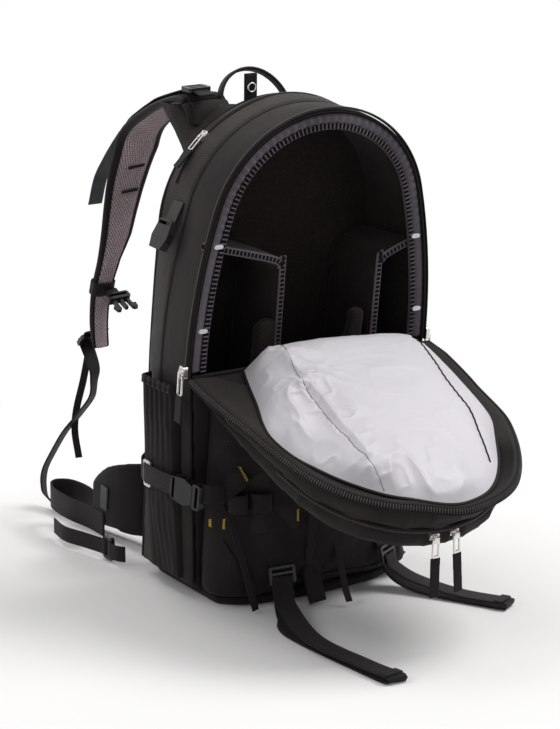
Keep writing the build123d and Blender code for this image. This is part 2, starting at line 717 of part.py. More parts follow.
def lid_pull_place(angle):
    """Frame of a lid pull: origin on the bridge bar, X along the bar, -Y straight down."""
    spot = lid_slider_place(angle, BRIDGE_Z + 0.7)
    bar = Plane(spot).x_dir
    down = Vector(0, 0, -1)
    down = (down - bar * down.dot(bar)).normalized()
    return Plane(origin=spot.position, x_dir=bar, z_dir=bar.cross(down * -1)).location


# --- soft moving pieces -------------------------------------------------------------------
HANDLE_Z = 550        # foot of the haul handle, behind the yoke
HANDLE_H = 58         # height of its loop
HANDLE_W = 11         # width of its webbing
HANDLE_TILT = 22      # degrees the loop leans back
HANDLE_AT = (-4, BACK_Y + YOKE_T - SHEAR * HANDLE_Z + HANDLE_W / 2 + 0.15, HANDLE_Z)


def haul_handle():
    """Webbing handle, its feet behind the yoke and its loop over the top."""
    tilt = math.radians(HANDLE_TILT)
    plane = Plane(origin=HANDLE_AT, x_dir=(1, 0, 0), z_dir=(0, -math.cos(tilt), math.sin(tilt)))
    top = HANDLE_H
    path = smooth([(-44, 0), (-44, 16), (-42, top - 24), (-31, top - 8), (0, top), (31, top - 8),
                   (42, top - 24), (44, 16), (44, 0)], 3)
    return ribbon(path, plane, HANDLE_W, -1.6, 1.6)


def handle_tab():
    """Folded webbing tab with a small steel ring, on the back of the arch."""
    x, y, z = -30, BACK_Y - SHEAR * TOP_Z - 1, TOP_Z + 10
    strip = Pos(x, y, z) * Box(15, 3.6, 26) - gusset(SEAM_Y, BACK_Y)
    ring = Pos(x, y - 2.9, z + 3) * Rot(90, 0, 0) * Torus(5, 1)
    return group(strip, ring)


UPPER_Z = 470
UPPER_ROOT = 1.5      # half thickness of the stub's rounded root
UPPER_X = -(arch_x(UPPER_Z) + UPPER_ROOT + 0.45)
UPPER_Y = 42 - SHEAR * UPPER_Z
UPPER_TILT = 16       # degrees the stiff stub stands off the gusset


def upper_buckle():
    """Loose female half on a short webbing stub, lying down along the gusset."""
    lean = math.atan2(arch_x(UPPER_Z - 58) - arch_x(UPPER_Z), 58) + math.radians(UPPER_TILT)
    down = (-math.sin(lean), 0, -math.cos(lean))
    out = (-math.cos(lean), 0, math.sin(lean))
    place = at((UPPER_X, UPPER_Y, UPPER_Z), down, out)
    stub = Pos(11.5, 0, 0) * Box(23, STRAP_W - 4, 2 * UPPER_ROOT)
    stub += Rot(90, 0, 0) * Cylinder(UPPER_ROOT, STRAP_W - 4)
    shell = Pos(36, 0, 1.8) * buckle_socket()
    return place * (stub + shell)


LUMBAR_HALF = 106     # half width of the lumbar pad at its widest
WING_T = 12           # thickness of a waist wing
WING_AT = (-(LUMBAR_HALF + WING_T / 2 + 0.4), 88)


def wing_path():
    """Plan of the left waist wing, from the lumbar pad round to its tip."""
    return smooth([WING_AT, (-130, 93), (-143, 108), (-150, 134), (-150, 172)], 3)


def waist_wing():
    """Padded waist wing with a round root, tall at the root and narrow at the tip."""
    plan = Plane(origin=(0, 0, 0), x_dir=(1, 0, 0), z_dir=(0, 0, 1))
    pad = ribbon(wing_path(), plan, 600, -WING_T / 2, WING_T / 2)
    pad += Pos(*WING_AT, 0) * Cylinder(WING_T / 2, 600)
    face = path_face((80, 34), ((172, 46),), ((180, 66), (172, 92)), ((120, 126), (80, 132)))
    return biggest(pad & extrude(side_plane(-200) * face, 200))


def waist_strap():
    """Waist webbing: a bow out from the wing, and a low tail through its ladder-lock."""
    plan = Plane(origin=(0, 0, 44), x_dir=(1, 0, 0), z_dir=(0, 0, 1))
    path = smooth([(-156.9, 140), (-157.6, 178), (-163, 222), (-160, 268), (-146, 290), (-128, 280),
                   (-122, 246), (-128, 208), (-138, 182)], 2)
    bow = ribbon(path, plan, 30)
    low = Plane(origin=(0, 0, 17), x_dir=(1, 0, 0), z_dir=(0, 0, 1))
    centre, along = (-155, 130.5), (0, 1)
    free = [in_lock(centre, along, *p) for p in LOCK_FRONT]
    tail = ribbon(free[:-1] + smooth([free[-1], (-166, 170), (-176, 205), (-172, 240)], 2), low, 20)
    lock = at((*centre, low.origin.Z), (*along, 0), (-1, 0, 0)) * ladder_lock()
    fixed = [in_lock(centre, along, *p) for p in LOCK_ROOT]
    root = ribbon(fixed + [(-157, 106), (-150.5, 98)], low, 20)
    return group(minus(bow, waist_wing()), tail, lock, minus(root, waist_wing()))


STERNUM_Z = 306       # height of the chest strap
STERNUM_ROOT = 1.2    # half thickness of its webbing


def pad_at(name, z):
    """Point of a pad's middle line at a height, and the direction towards the pack."""
    path = STRAP_PATHS[name]
    spans = [(a, b) for a, b in zip(path, path[1:]) if a[1] >= z >= b[1]]
    (ay, az), (by, bz) = spans[-1]
    share = (az - z) / (az - bz)
    length = math.hypot(by - ay, bz - az)
    return (ay + (by - ay) * share, z), ((bz - az) / length, -(by - ay) / length)


def sternum_place(name):
    """Frame of a sternum strap, drawn on the left: X out along the webbing from the pad."""
    (y, z), (ny, nz) = pad_at(name, STERNUM_Z)
    off = PAD_T / 2 + STERNUM_ROOT + 0.6
    return at((-(STRAP_X + 2), y + ny * off, z + nz * off), (0.05, -0.92, -0.38), (0.02, 0.38, -0.92))


def sternum_strap(name):
    """Short webbing with a round root, and the loose male half of the chest buckle."""
    web = Pos(5.4, 0, 0) * Box(10.8, 18, 2 * STERNUM_ROOT)
    web += Rot(90, 0, 0) * Cylinder(STERNUM_ROOT, 18)
    half = Pos(45.3, 0, 0) * Rot(0, 0, 180) * buckle_prongs()
    both = group(sternum_place(name) * web, sternum_place(name) * half)
    return mirror(both, Plane.YZ) if name == "right" else both


# --- fasteners --------------------------------------------------------------------------
def ladder_locks():
    """Six ladder-locks: load lifters, shoulder webbing and front straps."""
    locks = []
    for name, side in SIDES:
        y, z = pad_end(name)
        top = STRAP_PATHS[name][4][1] + PAD_T / 2 + 7
        locks.append(at((side * LOCK_X, 30, top), (0, 1, 0), (0, 0, 1)) * ladder_lock())
        spot = (side * LOCK_X, y + LOCK_OUT[0], z + LOCK_OUT[1])
        locks.append(at(spot, (0, *LOCK_DIR), (0, -LOCK_DIR[1], LOCK_DIR[0])) * ladder_lock())
    for x, turn, _ in FLOOR_STRAPS:
        place = strap_plane(x, turn).location * at((*FLOOR_LOCK[0], 0), (*FLOOR_LOCK[1], 0),
                                                   (-FLOOR_LOCK[1][1], FLOOR_LOCK[1][0], 0))
        locks.append(place * ladder_lock(STRAP_W))
    return group(*locks)


def strap_triglides():
    """Steel triglides on the compression straps."""
    frame = fillet(Box(15, STRAP_W + 7, 2.4).edges().filter_by(Axis.Z), 2.5)
    for x in (-3.2, 3.2):
        frame -= Pos(x, 0, 0) * Box(3.6, STRAP_W + 1, 10)
    left = at((-169.4, 6, BUCKLE_Z), (0, -1, 0), (-1, 0, 0)) * frame
    return mirrored(left)


# --- everything ---------------------------------------------------------------------------
POCKET = front_pocket()
FLAP = pocket_flap()
LID_SHELL = lid_shell()
LID_POCKET = lid_pocket()


def build():
    """Writes every node."""
    insert = padded_insert()
    cradle = lens_cradle()
    save(base_panel(), "base_panel")
    save(gusset(FRONT_Y, SEAM_Y), "gusset_front")
    save(gusset(SEAM_Y, BACK_Y), "gusset_rear")
    save(front_wall(), "front_wall")
    save(insert, "padded_insert")
    save(insert_edging(), "insert_edging")
    save(back_panel(), "back_panel")
    save(zip_ring(FRONT_Y, FRONT_Y + 7, 3.5, HINGE_Z), "body_zip")
    save(top_zip(), "top_zip")
    save(divider("left", insert, cradle), "divider_left")
    save(divider("right", insert, cradle), "divider_right")
    save(cradle, "lens_cradle")
    save(divider_studs(), "divider_studs")
    save(POCKET, "front_pocket")
    save(FLAP, "pocket_flap")
    save(harness_yoke(), "harness_yoke")
    save(back_pads(), "back_pads")
    save(lumbar_pad(), "lumbar_pad")
    save(load_lifters(), "load_lifter_straps")
    save(shoulder_webbing(), "shoulder_webbing")
    save(compression_straps(), "compression_straps")
    save(mirrored(placed_buckle(buckle_socket())), "buckle_sockets")
    save(mirrored(placed_buckle(buckle_prongs())), "buckle_prongs")
    save(front_straps(), "front_straps")
    save(group(*strap_tails(), *side_loops()), "pocket_webbing")
    save(handle_tab(), "handle_tab")
    save(ladder_locks(), "ladder_locks")
    save(strap_triglides(), "strap_triglides")
    save(haul_handle(), "haul_handle")
    for name, side in SIDES:
        save(side_pocket(side), "side_pocket_" + name)
        save(shoulder_pad(name), "shoulder_pad_" + name)

    save(LID_SHELL, "lid_shell")
    save(lid_lining(), "lid_lining")
    save(lid_zip(), "lid_zip")
    save(LID_POCKET, "lid_pocket")
    save(lid_pocket_zip(), "lid_pocket_zip")

    slider = slider_body(MAIN_L, 11)
    save(mirrored(main_place() * slider), "main_sliders")
    save(top_place(2.9 + SLIDER_H / 2) * slider_body(TOP_L, 10), "top_slider")
    save(top_place(2.9 + SLIDER_H / 2 + CROSS_Z) * frame_pull(TOP_PULL_L, 9), "top_pull")
    save(top_place(2.9 + SLIDER_H / 2 + CROSS_Z) * tab_strip(TOP_PULL_L, TOP_TAB_L, 12), "top_tab")
    both = {
        "main_pull_": main_place(CROSS_Z) * frame_pull(MAIN_PULL_L, 10),
        "main_tab_": main_place(CROSS_Z) * tab_strip(MAIN_PULL_L, MAIN_TAB_L, 14),
        "upper_buckle_": upper_buckle(),
        "waist_wing_": waist_wing(),
        "waist_strap_": waist_strap(),
    }
    for start, shape in both.items():
        save(shape, start + "left")
        save(mirror(shape, Plane.YZ), start + "right")
    for (name, _), angle in zip(SIDES, LID_SLIDERS):
        save(sternum_strap(name), "sternum_strap_" + name)
        save(lid_slider_place(angle) * slider_body(LID_SLIDER_L, 9), "lid_slider_" + name)
        save(lid_pull_place(angle) * sleeve_pull(LID_PULL_L, 9), "lid_pull_" + name)
        strip = Rot(0, 0, 90) * tab_strip(LID_PULL_L, LID_TAB_L, 12)
        save(lid_pull_place(angle) * strip, "lid_tab_" + name)


build()
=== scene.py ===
import json
import math

import bmesh
import bpy
import numpy as np
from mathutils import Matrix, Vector
from mathutils.bvhtree import BVHTree


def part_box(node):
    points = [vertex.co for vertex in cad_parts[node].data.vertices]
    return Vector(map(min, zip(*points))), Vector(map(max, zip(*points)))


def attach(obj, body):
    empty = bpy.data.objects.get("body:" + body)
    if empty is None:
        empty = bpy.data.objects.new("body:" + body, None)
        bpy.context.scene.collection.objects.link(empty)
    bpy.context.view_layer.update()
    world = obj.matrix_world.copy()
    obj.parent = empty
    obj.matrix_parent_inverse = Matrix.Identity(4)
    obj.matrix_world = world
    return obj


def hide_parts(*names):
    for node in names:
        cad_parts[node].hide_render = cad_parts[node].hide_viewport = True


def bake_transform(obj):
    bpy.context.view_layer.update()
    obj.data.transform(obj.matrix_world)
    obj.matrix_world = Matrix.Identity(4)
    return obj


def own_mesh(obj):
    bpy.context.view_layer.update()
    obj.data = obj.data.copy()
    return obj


bl_info = {
    "name": "Camera backpack",
    "version": (1, 0, 0),
    "blender": (4, 5, 0),
    "location": "3D View > Sidebar > Backpack",
    "description": "Fabric, webbing, zips, padding and a studio for an opened camera backpack",
    "category": "Object",
}

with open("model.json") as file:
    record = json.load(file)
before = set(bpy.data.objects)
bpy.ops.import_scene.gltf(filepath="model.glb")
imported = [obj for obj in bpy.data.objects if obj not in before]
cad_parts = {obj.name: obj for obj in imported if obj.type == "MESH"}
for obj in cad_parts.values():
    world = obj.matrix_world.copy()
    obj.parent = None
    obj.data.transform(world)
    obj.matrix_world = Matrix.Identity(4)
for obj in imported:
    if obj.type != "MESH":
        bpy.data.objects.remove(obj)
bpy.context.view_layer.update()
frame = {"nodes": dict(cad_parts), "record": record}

# Planes and sizes of the pack, in metres and radians.
LEAN = math.radians(7.4)
SHEAR = math.tan(LEAN)
BACK_Y = 0.078                               # plane of the back board
SHELL_FRONT, SHELL_BACK = -0.0396, 0.0774    # planes between which the shell's outline is found
LID = next(j for j in frame["record"]["behaviour"]["joints"] if j["name"] == "lid_hinge")
LID_AT = np.array(LID["pos_m"])
DROOP = math.radians(20.5)
LID_OUT = np.array([0, -math.cos(DROOP), -math.sin(DROOP)])
LID_UP = np.array([0, -math.sin(DROOP), math.cos(DROOP)])
SIDES = (("left", -1), ("right", 1))
Z = np.array([0.0, 0.0, 1.0])
X = np.array([1.0, 0.0, 0.0])
FRONT = np.array([0, -1.0, 0])
STITCH = (0.0022, 0.0007, 0.0008)            # length, width and height


# --- small maths -------------------------------------------------------------------------
def unit(v):
    """Vectors of length one, row by row."""
    v = np.asarray(v, float)
    return v / np.maximum(np.linalg.norm(v, axis=-1, keepdims=True), 1e-12)


def ease(t):
    """Smooth step from 0 to 1."""
    t = np.clip(t, 0, 1)
    return t * t * (3 - 2 * t)


def noise(p, scale=1.0, seed=0):
    """Smooth value noise between -1 and 1 at points (..., 3)."""
    p = np.asarray(p, float) * scale + seed * 17.31
    cell = np.floor(p).astype(np.int64)
    f = p - cell
    f = f * f * (3 - 2 * f)

    def corner(dx, dy, dz):
        n = (cell[..., 0] + dx) * 374761393 + (cell[..., 1] + dy) * 668265263
        n = (n + (cell[..., 2] + dz) * 1274126177 + seed * 974711) & 0x7FFFFFFF
        n = ((n ^ (n >> 13)) * 1103515245) & 0x7FFFFFFF
        return ((n ^ (n >> 16)) & 0xFFFF) / 32767.5 - 1

    out = 0
    for dx in (0, 1):
        for dy in (0, 1):
            for dz in (0, 1):
                w = (f[..., 0] if dx else 1 - f[..., 0]) * (f[..., 1] if dy else 1 - f[..., 1])
                out = out + corner(dx, dy, dz) * w * (f[..., 2] if dz else 1 - f[..., 2])
    return out


def ridges(p, scale, seed=0, sharp=2.0):
    """Fabric folds: narrow crests between 0 and 1."""
    return (1 - np.abs(noise(p, scale, seed))) ** sharp


def dense(points, step=0.004):
    """Smooth curve through points, resampled by length."""
    p = np.asarray(points, float)
    ends = np.vstack([2 * p[0] - p[1], p, 2 * p[-1] - p[-2]])
    out = []
    for a, b, c, d in zip(ends, ends[1:], ends[2:], ends[3:]):
        t = np.linspace(0, 1, 12, endpoint=False)[:, None]
        out.append(0.5 * (2 * b + (c - a) * t + (2 * a - 5 * b + 4 * c - d) * t ** 2
                          + (3 * b - a - 3 * c + d) * t ** 3))
    return resample(np.vstack(out + [p[-1:]]), step)


def lengths(line):
    """Length along a line at each of its points."""
    return np.concatenate([[0], np.cumsum(np.linalg.norm(np.diff(line, axis=0), axis=1))])


def resample(line, step=None, count=None):
    """Evenly spaced points along a polyline."""
    s = lengths(line)
    count = count or max(2, int(round(s[-1] / step)) + 1)
    t = np.linspace(0, s[-1], count)
    return np.stack([np.interp(t, s, line[:, k]) for k in range(line.shape[1])], 1)


def tangents(line):
    """Unit direction at each point of a line."""
    return unit(np.gradient(line, axis=0))


# --- meshes ------------------------------------------------------------------------------
def new_object(name, data):
    """An object in the scene that holds a mesh, a lamp or a camera."""
    obj = bpy.data.objects.new(name, data)
    bpy.context.scene.collection.objects.link(obj)
    return obj

def make(name, verts, faces, uvs=None, mats=(), slots=None):
    """An object from vertices and faces, with one UV per vertex and a material index per face."""
    mesh = bpy.data.meshes.new(name)
    mesh.from_pydata([tuple(v) for v in np.asarray(verts, float)], [], [tuple(int(i) for i in f) for f in faces])
    if uvs is not None:
        layer = mesh.uv_layers.new(name="UVMap")
        index = np.zeros(len(mesh.loops), np.int32)
        mesh.loops.foreach_get("vertex_index", index)
        layer.data.foreach_set("uv", np.asarray(uvs, np.float32)[index].ravel())
    for m in mats:
        mesh.materials.append(m)
    if slots is not None:
        mesh.polygons.foreach_set("material_index", np.asarray(slots, np.int32))
    mesh.polygons.foreach_set("use_smooth", np.full(len(mesh.polygons), True))
    mesh.update()
    return new_object(name, mesh)


def grid_faces(n, m, close_n=False, close_m=False, flip=False):
    """Quads of an n by m grid of points."""
    faces = []
    for i in range(n if close_n else n - 1):
        for j in range(m if close_m else m - 1):
            a, b = i * m + j, i * m + (j + 1) % m
            c, d = ((i + 1) % n) * m + (j + 1) % m, ((i + 1) % n) * m + j
            faces.append((a, d, c, b) if flip else (a, b, c, d))
    return faces


def grid(name, pts, mat, uvs=None, close_m=False, flip=False, caps=False):
    """A smooth surface from a grid of points (n, m, 3)."""
    n, m = pts.shape[:2]
    faces = grid_faces(n, m, False, close_m, flip)
    if caps:
        first, last = tuple(range(m)), tuple((n - 1) * m + j for j in range(m))
        faces += [first if flip else first[::-1], last[::-1] if flip else last]
    return make(name, pts.reshape(-1, 3), faces, None if uvs is None else uvs.reshape(-1, 2), mats=[mat])



def finish(obj, body, replaces=()):
    """Rides a finished piece on its body and hides the CAD parts it replaces."""
    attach(obj, body)
    if replaces:
        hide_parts(*replaces)
    return obj


def outward(obj):
    """Turns the faces of a closed mesh outwards."""
    bm = bmesh.new()
    bm.from_mesh(obj.data)
    bmesh.ops.recalc_face_normals(bm, faces=bm.faces)
    bm.to_mesh(obj.data)
    bm.free()
    return obj


def applied(obj):
    """Bakes the modifiers of an object into its mesh."""
    deps = bpy.context.evaluated_depsgraph_get()
    deps.update()
    mesh = bpy.data.meshes.new_from_object(obj.evaluated_get(deps))
    mats = list(obj.data.materials)
    obj.modifiers.clear()
    obj.data = mesh
    if not mesh.materials:
        for m in mats:
            mesh.materials.append(m)
    mesh.name = obj.name
    return obj


def thicken(obj, thickness, offset=-1.0):
    """Gives a sheet a wall."""
    mod = obj.modifiers.new("Wall", "SOLIDIFY")
    mod.thickness = thickness
    mod.offset = offset
    return applied(obj)


def subdivide(obj, levels=1):
    """Rounds a mesh with subdivision."""
    mod = obj.modifiers.new("Round", "SUBSURF")
    mod.levels = mod.render_levels = levels
    return applied(obj)


def coords(obj):
    """Vertex positions of an object as an array."""
    co = np.zeros(len(obj.data.vertices) * 3)
    obj.data.vertices.foreach_get("co", co)
    return co.reshape(-1, 3)


def set_coords(obj, co):
    """Writes vertex positions."""
    obj.data.vertices.foreach_set("co", np.asarray(co, np.float32).ravel())
    obj.data.update()


def vertex_normals(obj):
    """Vertex normals of an object as an array."""
    n = np.zeros(len(obj.data.vertices) * 3)
    obj.data.vertices.foreach_get("normal", n)
    return n.reshape(-1, 3)


def relax(obj, rounds):
    """Evens out a mesh by moving each vertex towards its neighbours."""
    co = coords(obj)
    edges = np.zeros(len(obj.data.edges) * 2, np.int64)
    obj.data.edges.foreach_get("vertices", edges)
    a, b = edges.reshape(-1, 2).T
    count = np.bincount(np.concatenate([a, b]), minlength=len(co))[:, None]
    for _ in range(rounds):
        total = np.zeros_like(co)
        np.add.at(total, a, co[b])
        np.add.at(total, b, co[a])
        co += (total / np.maximum(count, 1) - co) * 0.5
    set_coords(obj, co)
    return obj


def cad_copy(name, *nodes, keep=None):
    """Welded copy of CAD solids, with only the parts whose centre passes keep."""
    bm = bmesh.new()
    for node in nodes:
        bm.from_mesh(frame["nodes"][node].data)
    bmesh.ops.remove_doubles(bm, verts=bm.verts, dist=1e-5)
    if keep:
        left = set(bm.verts)
        while left:
            stack, part = [left.pop()], []
            while stack:
                v = stack.pop()
                part.append(v)
                for e in v.link_edges:
                    o = e.other_vert(v)
                    if o in left:
                        left.discard(o)
                        stack.append(o)
            centre = sum((v.co for v in part), Vector()) / len(part)
            if not keep(centre):
                bmesh.ops.delete(bm, geom=part, context="VERTS")
    mesh = bpy.data.meshes.new(name)
    bm.to_mesh(mesh)
    bm.free()
    return new_object(name, mesh)


def soft_copy(name, nodes, mat, voxel, rounds):
    """Remeshed and smoothed copy of soft CAD solids."""
    obj = cad_copy(name, *nodes)
    guide = new_object(name + "_guide", obj.data.copy())
    mod = obj.modifiers.new("Skin", "REMESH")
    mod.mode = "VOXEL"
    mod.voxel_size = voxel
    mod.use_smooth_shade = True
    wrap = obj.modifiers.new("Follow", "SHRINKWRAP")
    wrap.target = guide
    applied(obj)
    bpy.data.objects.remove(guide)
    relax(obj, rounds)
    obj.data.materials.clear()
    obj.data.materials.append(mat)
    return obj


def push(obj, amount):
    """Moves vertices along their normals by an amount each."""
    co = coords(obj)
    set_coords(obj, co + vertex_normals(obj) * np.asarray(amount)[:, None])
    return obj


def puff(obj, cap, pressure, shrink):
    """Cloth simulation of a padded piece: it swells under pressure, up to a cap."""
    rest = coords(obj)
    push(obj, np.full(len(rest), -shrink))
    mod = obj.modifiers.new("Padding", "CLOTH")
    mod.settings.use_pressure = True
    mod.settings.uniform_pressure_force = pressure
    mod.settings.effector_weights.gravity = 0
    mod.settings.quality = 5
    mod.settings.mass = 0.3
    mod.settings.tension_stiffness = 20
    mod.settings.compression_stiffness = 20
    mod.settings.bending_stiffness = 1.5
    mod.point_cache.frame_start = 1
    mod.point_cache.frame_end = 20
    scene = bpy.context.scene
    for f in range(1, 19):
        scene.frame_set(f)
    applied(obj)
    scene.frame_set(1)
    moved = coords(obj) - rest
    far = np.linalg.norm(moved, axis=1, keepdims=True)
    set_coords(obj, rest + moved * np.minimum(1, cap / np.maximum(far, 1e-9)))
    relax(obj, 1)
    return obj


def closed_grid(name, pts, last, first, mat):
    """A closed surface from a ring of columns of points, fanned together at a last and a first point."""
    n, k = pts.shape[:2]
    faces = grid_faces(n, k, close_n=True)
    faces += [((i + 1) % n * k + k - 1, i * k + k - 1, n * k) for i in range(n)]
    faces += [(i * k, (i + 1) % n * k, n * k + 1) for i in range(n)]
    return outward(make(name, np.vstack([pts.reshape(-1, 3), last[None], first[None]]), faces, mats=[mat]))

def section_sweep(name, line, across, normal, section, mat):
    """Sweeps a closed section (v, h), or one per point, along a line with a direction per point for each."""
    sec = np.asarray(section, float)
    if sec.ndim == 2:
        sec = np.broadcast_to(sec, (len(line), *sec.shape))
    pts = line[:, None] + across[:, None] * sec[..., :1] + normal[:, None] * sec[..., 1:2]
    uvs = np.stack([np.broadcast_to(lengths(line)[:, None], sec.shape[:2]), sec[..., 0]], -1)
    return outward(grid(name, pts, mat, uvs, close_m=True, caps=True))

def web_section(width, thick):
    """Flat webbing section with softly rounded edges."""
    w, t = width / 2, thick / 2
    top = [(-w + t * 0.6, t), (-w * 0.6, t), (0, t), (w * 0.6, t), (w - t * 0.6, t)]
    return top + [(w, 0)] + [(v, -h) for v, h in top[::-1]] + [(-w, 0)]


def web(name, points, width, side, thick=0.0018, step=0.004, body="pack", stands_for=(), mat="webbing"):
    """A webbing strap along points, its width along side (one vector or one per point), on its body."""
    line, side = np.asarray(points, float), np.asarray(side, float)
    if side.ndim == 2:
        both = dense(np.hstack([line, side]), step)
        line, side = both[:, :3], both[:, 3:]
    else:
        line = dense(line, step)
        side = np.broadcast_to(side, line.shape)
    t = tangents(line)
    across = unit(side - (side * t).sum(1, keepdims=True) * t)
    piece = section_sweep(name, line, across, unit(np.cross(t, across)), web_section(width, thick), materials()[mat])
    return finish(piece, body, stands_for)

def oval(sides, width, height):
    """An oval section from its half width and half height."""
    angle = np.linspace(0, 2 * math.pi, sides, endpoint=False)
    return np.stack([np.cos(angle) * width, np.sin(angle) * height], 1)

def tube(name, line, radius, mat):
    """A round cord or piping along a line."""
    t = tangents(line)
    seed = np.where(np.abs(t[:, 2:3]) > 0.9, X, Z)
    across = unit(np.cross(t, seed))
    for i in range(1, len(across)):
        across[i] = unit(across[i - 1] - (across[i - 1] @ t[i]) * t[i])
    normal = np.cross(t, across)
    return section_sweep(name, line, across, normal, oval(8, radius, radius), mat)


# --- rows of repeated shapes -----------------------------------------------------------
ROW_INPUTS = (("Pitch", 0.003), ("Length", 0.002), ("Width", 0.001), ("Height", 0.001), ("Stagger", 0.0))

ROUND_SHAPES = {"stitches": (6, 4), "teeth": (8, 5)}    # segments and rings; rungs are cubes

def row_tree(shape):
    """Geometry Nodes that repeat a small shape along a path with a facing direction."""
    name = "Row of " + shape
    if name in bpy.data.node_groups:
        return bpy.data.node_groups[name]
    tree = bpy.data.node_groups.new(name, "GeometryNodeTree")
    tree.interface.new_socket("Path", in_out="INPUT", socket_type="NodeSocketGeometry")
    for label, default in ROW_INPUTS:
        item = tree.interface.new_socket(label, in_out="INPUT", socket_type="NodeSocketFloat")
        item.default_value = default
    tree.interface.new_socket("Material", in_out="INPUT", socket_type="NodeSocketMaterial")
    tree.interface.new_socket("Row", in_out="OUTPUT", socket_type="NodeSocketGeometry")

    def add(kind, **settings):
        n = tree.nodes.new(kind)
        for key, value in settings.items():
            setattr(n, key, value)
        return n

    start = add("NodeGroupInput")
    curve = add("GeometryNodeMeshToCurve")
    even = add("GeometryNodeResampleCurve", mode="LENGTH")
    face = add("GeometryNodeInputNamedAttribute", data_type="FLOAT_VECTOR")
    face.inputs["Name"].default_value = "facing"
    up = add("FunctionNodeAlignRotationToVector", axis="Z")
    along = add("FunctionNodeAlignRotationToVector", axis="X", pivot_axis="Z")
    tangent = add("GeometryNodeInputTangent")
    scale = add("ShaderNodeCombineXYZ")
    place = add("GeometryNodeInstanceOnPoints")
    if shape in ROUND_SHAPES:
        one = add("GeometryNodeMeshUVSphere")
        for socket, value in zip(("Segments", "Rings", "Radius"), (*ROUND_SHAPES[shape], 0.5)):
            one.inputs[socket].default_value = value
    else:
        one = add("GeometryNodeMeshCube")
    index = add("GeometryNodeInputIndex")
    odd = add("ShaderNodeMath", operation="MODULO")
    odd.inputs[1].default_value = 2
    centre = add("ShaderNodeMath", operation="SUBTRACT")
    centre.inputs[1].default_value = 0.5
    shift = add("ShaderNodeMath", operation="MULTIPLY")
    offset = add("ShaderNodeCombineXYZ")
    move = add("GeometryNodeTranslateInstances")
    real = add("GeometryNodeRealizeInstances")
    shade = add("GeometryNodeSetShadeSmooth")
    shade.inputs["Shade Smooth"].default_value = shape != "rungs"
    paint = add("GeometryNodeSetMaterial")
    end = add("NodeGroupOutput")
    for source, out, target, socket in (
            (start, "Path", curve, "Mesh"), (curve, "Curve", even, "Curve"), (start, "Pitch", even, "Length"),
            (face, "Attribute", up, "Vector"), (up, "Rotation", along, "Rotation"),
            (tangent, "Tangent", along, "Vector"), (start, "Length", scale, "X"), (start, "Width", scale, "Y"),
            (start, "Height", scale, "Z"), (even, "Curve", place, "Points"), (one, "Mesh", place, "Instance"),
            (along, "Rotation", place, "Rotation"), (scale, "Vector", place, "Scale"), (index, "Index", odd, 0),
            (odd, "Value", centre, 0), (centre, "Value", shift, 0), (start, "Stagger", shift, 1),
            (shift, "Value", offset, "Y"), (place, "Instances", move, "Instances"),
            (offset, "Vector", move, "Translation"), (move, "Instances", real, "Geometry"),
            (real, "Geometry", shade, "Geometry"), (shade, "Geometry", paint, "Geometry"),
            (start, "Material", paint, "Material"), (paint, "Geometry", end, "Row")):
        tree.links.new(source.outputs[out], target.inputs[socket])
    return tree

def row(name, line, facing, shape, mat, pitch, size, stagger=0.0):
    """A row of stitches, teeth or rungs along one or several lines, as a plain mesh."""
    lines = line if isinstance(line, list) else [line]
    facings = facing if isinstance(facing, list) else [facing]
    verts, edges, face = [], [], []
    for points, look in zip(lines, facings):
        start = len(verts)
        verts += [tuple(p) for p in points]
        face += [tuple(v) for v in np.broadcast_to(look, points.shape)]
        edges += [(start + i, start + i + 1) for i in range(len(points) - 1)]
    mesh = bpy.data.meshes.new(name)
    mesh.from_pydata(verts, edges, [])
    attribute = mesh.attributes.new("facing", "FLOAT_VECTOR", "POINT")
    attribute.data.foreach_set("vector", np.asarray(face, np.float32).ravel())
    obj = new_object(name, mesh)
    tree = row_tree(shape)
    mod = obj.modifiers.new("Row", "NODES")
    mod.node_group = tree
    ids = {i.name: i.identifier for i in tree.interface.items_tree if i.in_out == "INPUT"}
    for (label, _), value in zip(ROW_INPUTS, (pitch, *size, stagger)):
        mod[ids[label]] = float(value)
    mod[ids["Material"]] = mat
    return applied(obj)

def stitches(name, lines, looks, body, size=STITCH):
    """Rows of seam stitches, finished on their body."""
    finish(row(name, lines, looks, "stitches", materials()["seam"], bpy.context.scene.backpack_sizes.stitch, size),
           body)


# --- shaders -----------------------------------------------------------------------------
class Value:
    """A shader socket; arithmetic on it adds Math nodes."""

    def __init__(self, graph, socket):
        self.graph = graph
        self.socket = socket

    def maths(self, operation, *others):
        """One Math node on this value and others."""
        return self.graph.node("ShaderNodeMath", {"operation": operation}, dict(enumerate((self, *others))))

    def __add__(self, other):
        return self.maths("ADD", other)

    def __sub__(self, other):
        return self.maths("SUBTRACT", other)

    def __mul__(self, other):
        return self.maths("MULTIPLY", other)

    def __rsub__(self, other):
        return self.graph.node("ShaderNodeMath", {"operation": "SUBTRACT"}, {0: other, 1: self})

    __radd__ = __add__
    __rmul__ = __mul__

    def sine(self):
        """Sine of the value."""
        return self.maths("SINE")

    def between(self, low, high):
        """0 below low, 1 above high."""
        return self.graph.node("ShaderNodeMapRange", {"interpolation_type": "SMOOTHSTEP"},
                               {"Value": self, "From Min": low, "From Max": high})


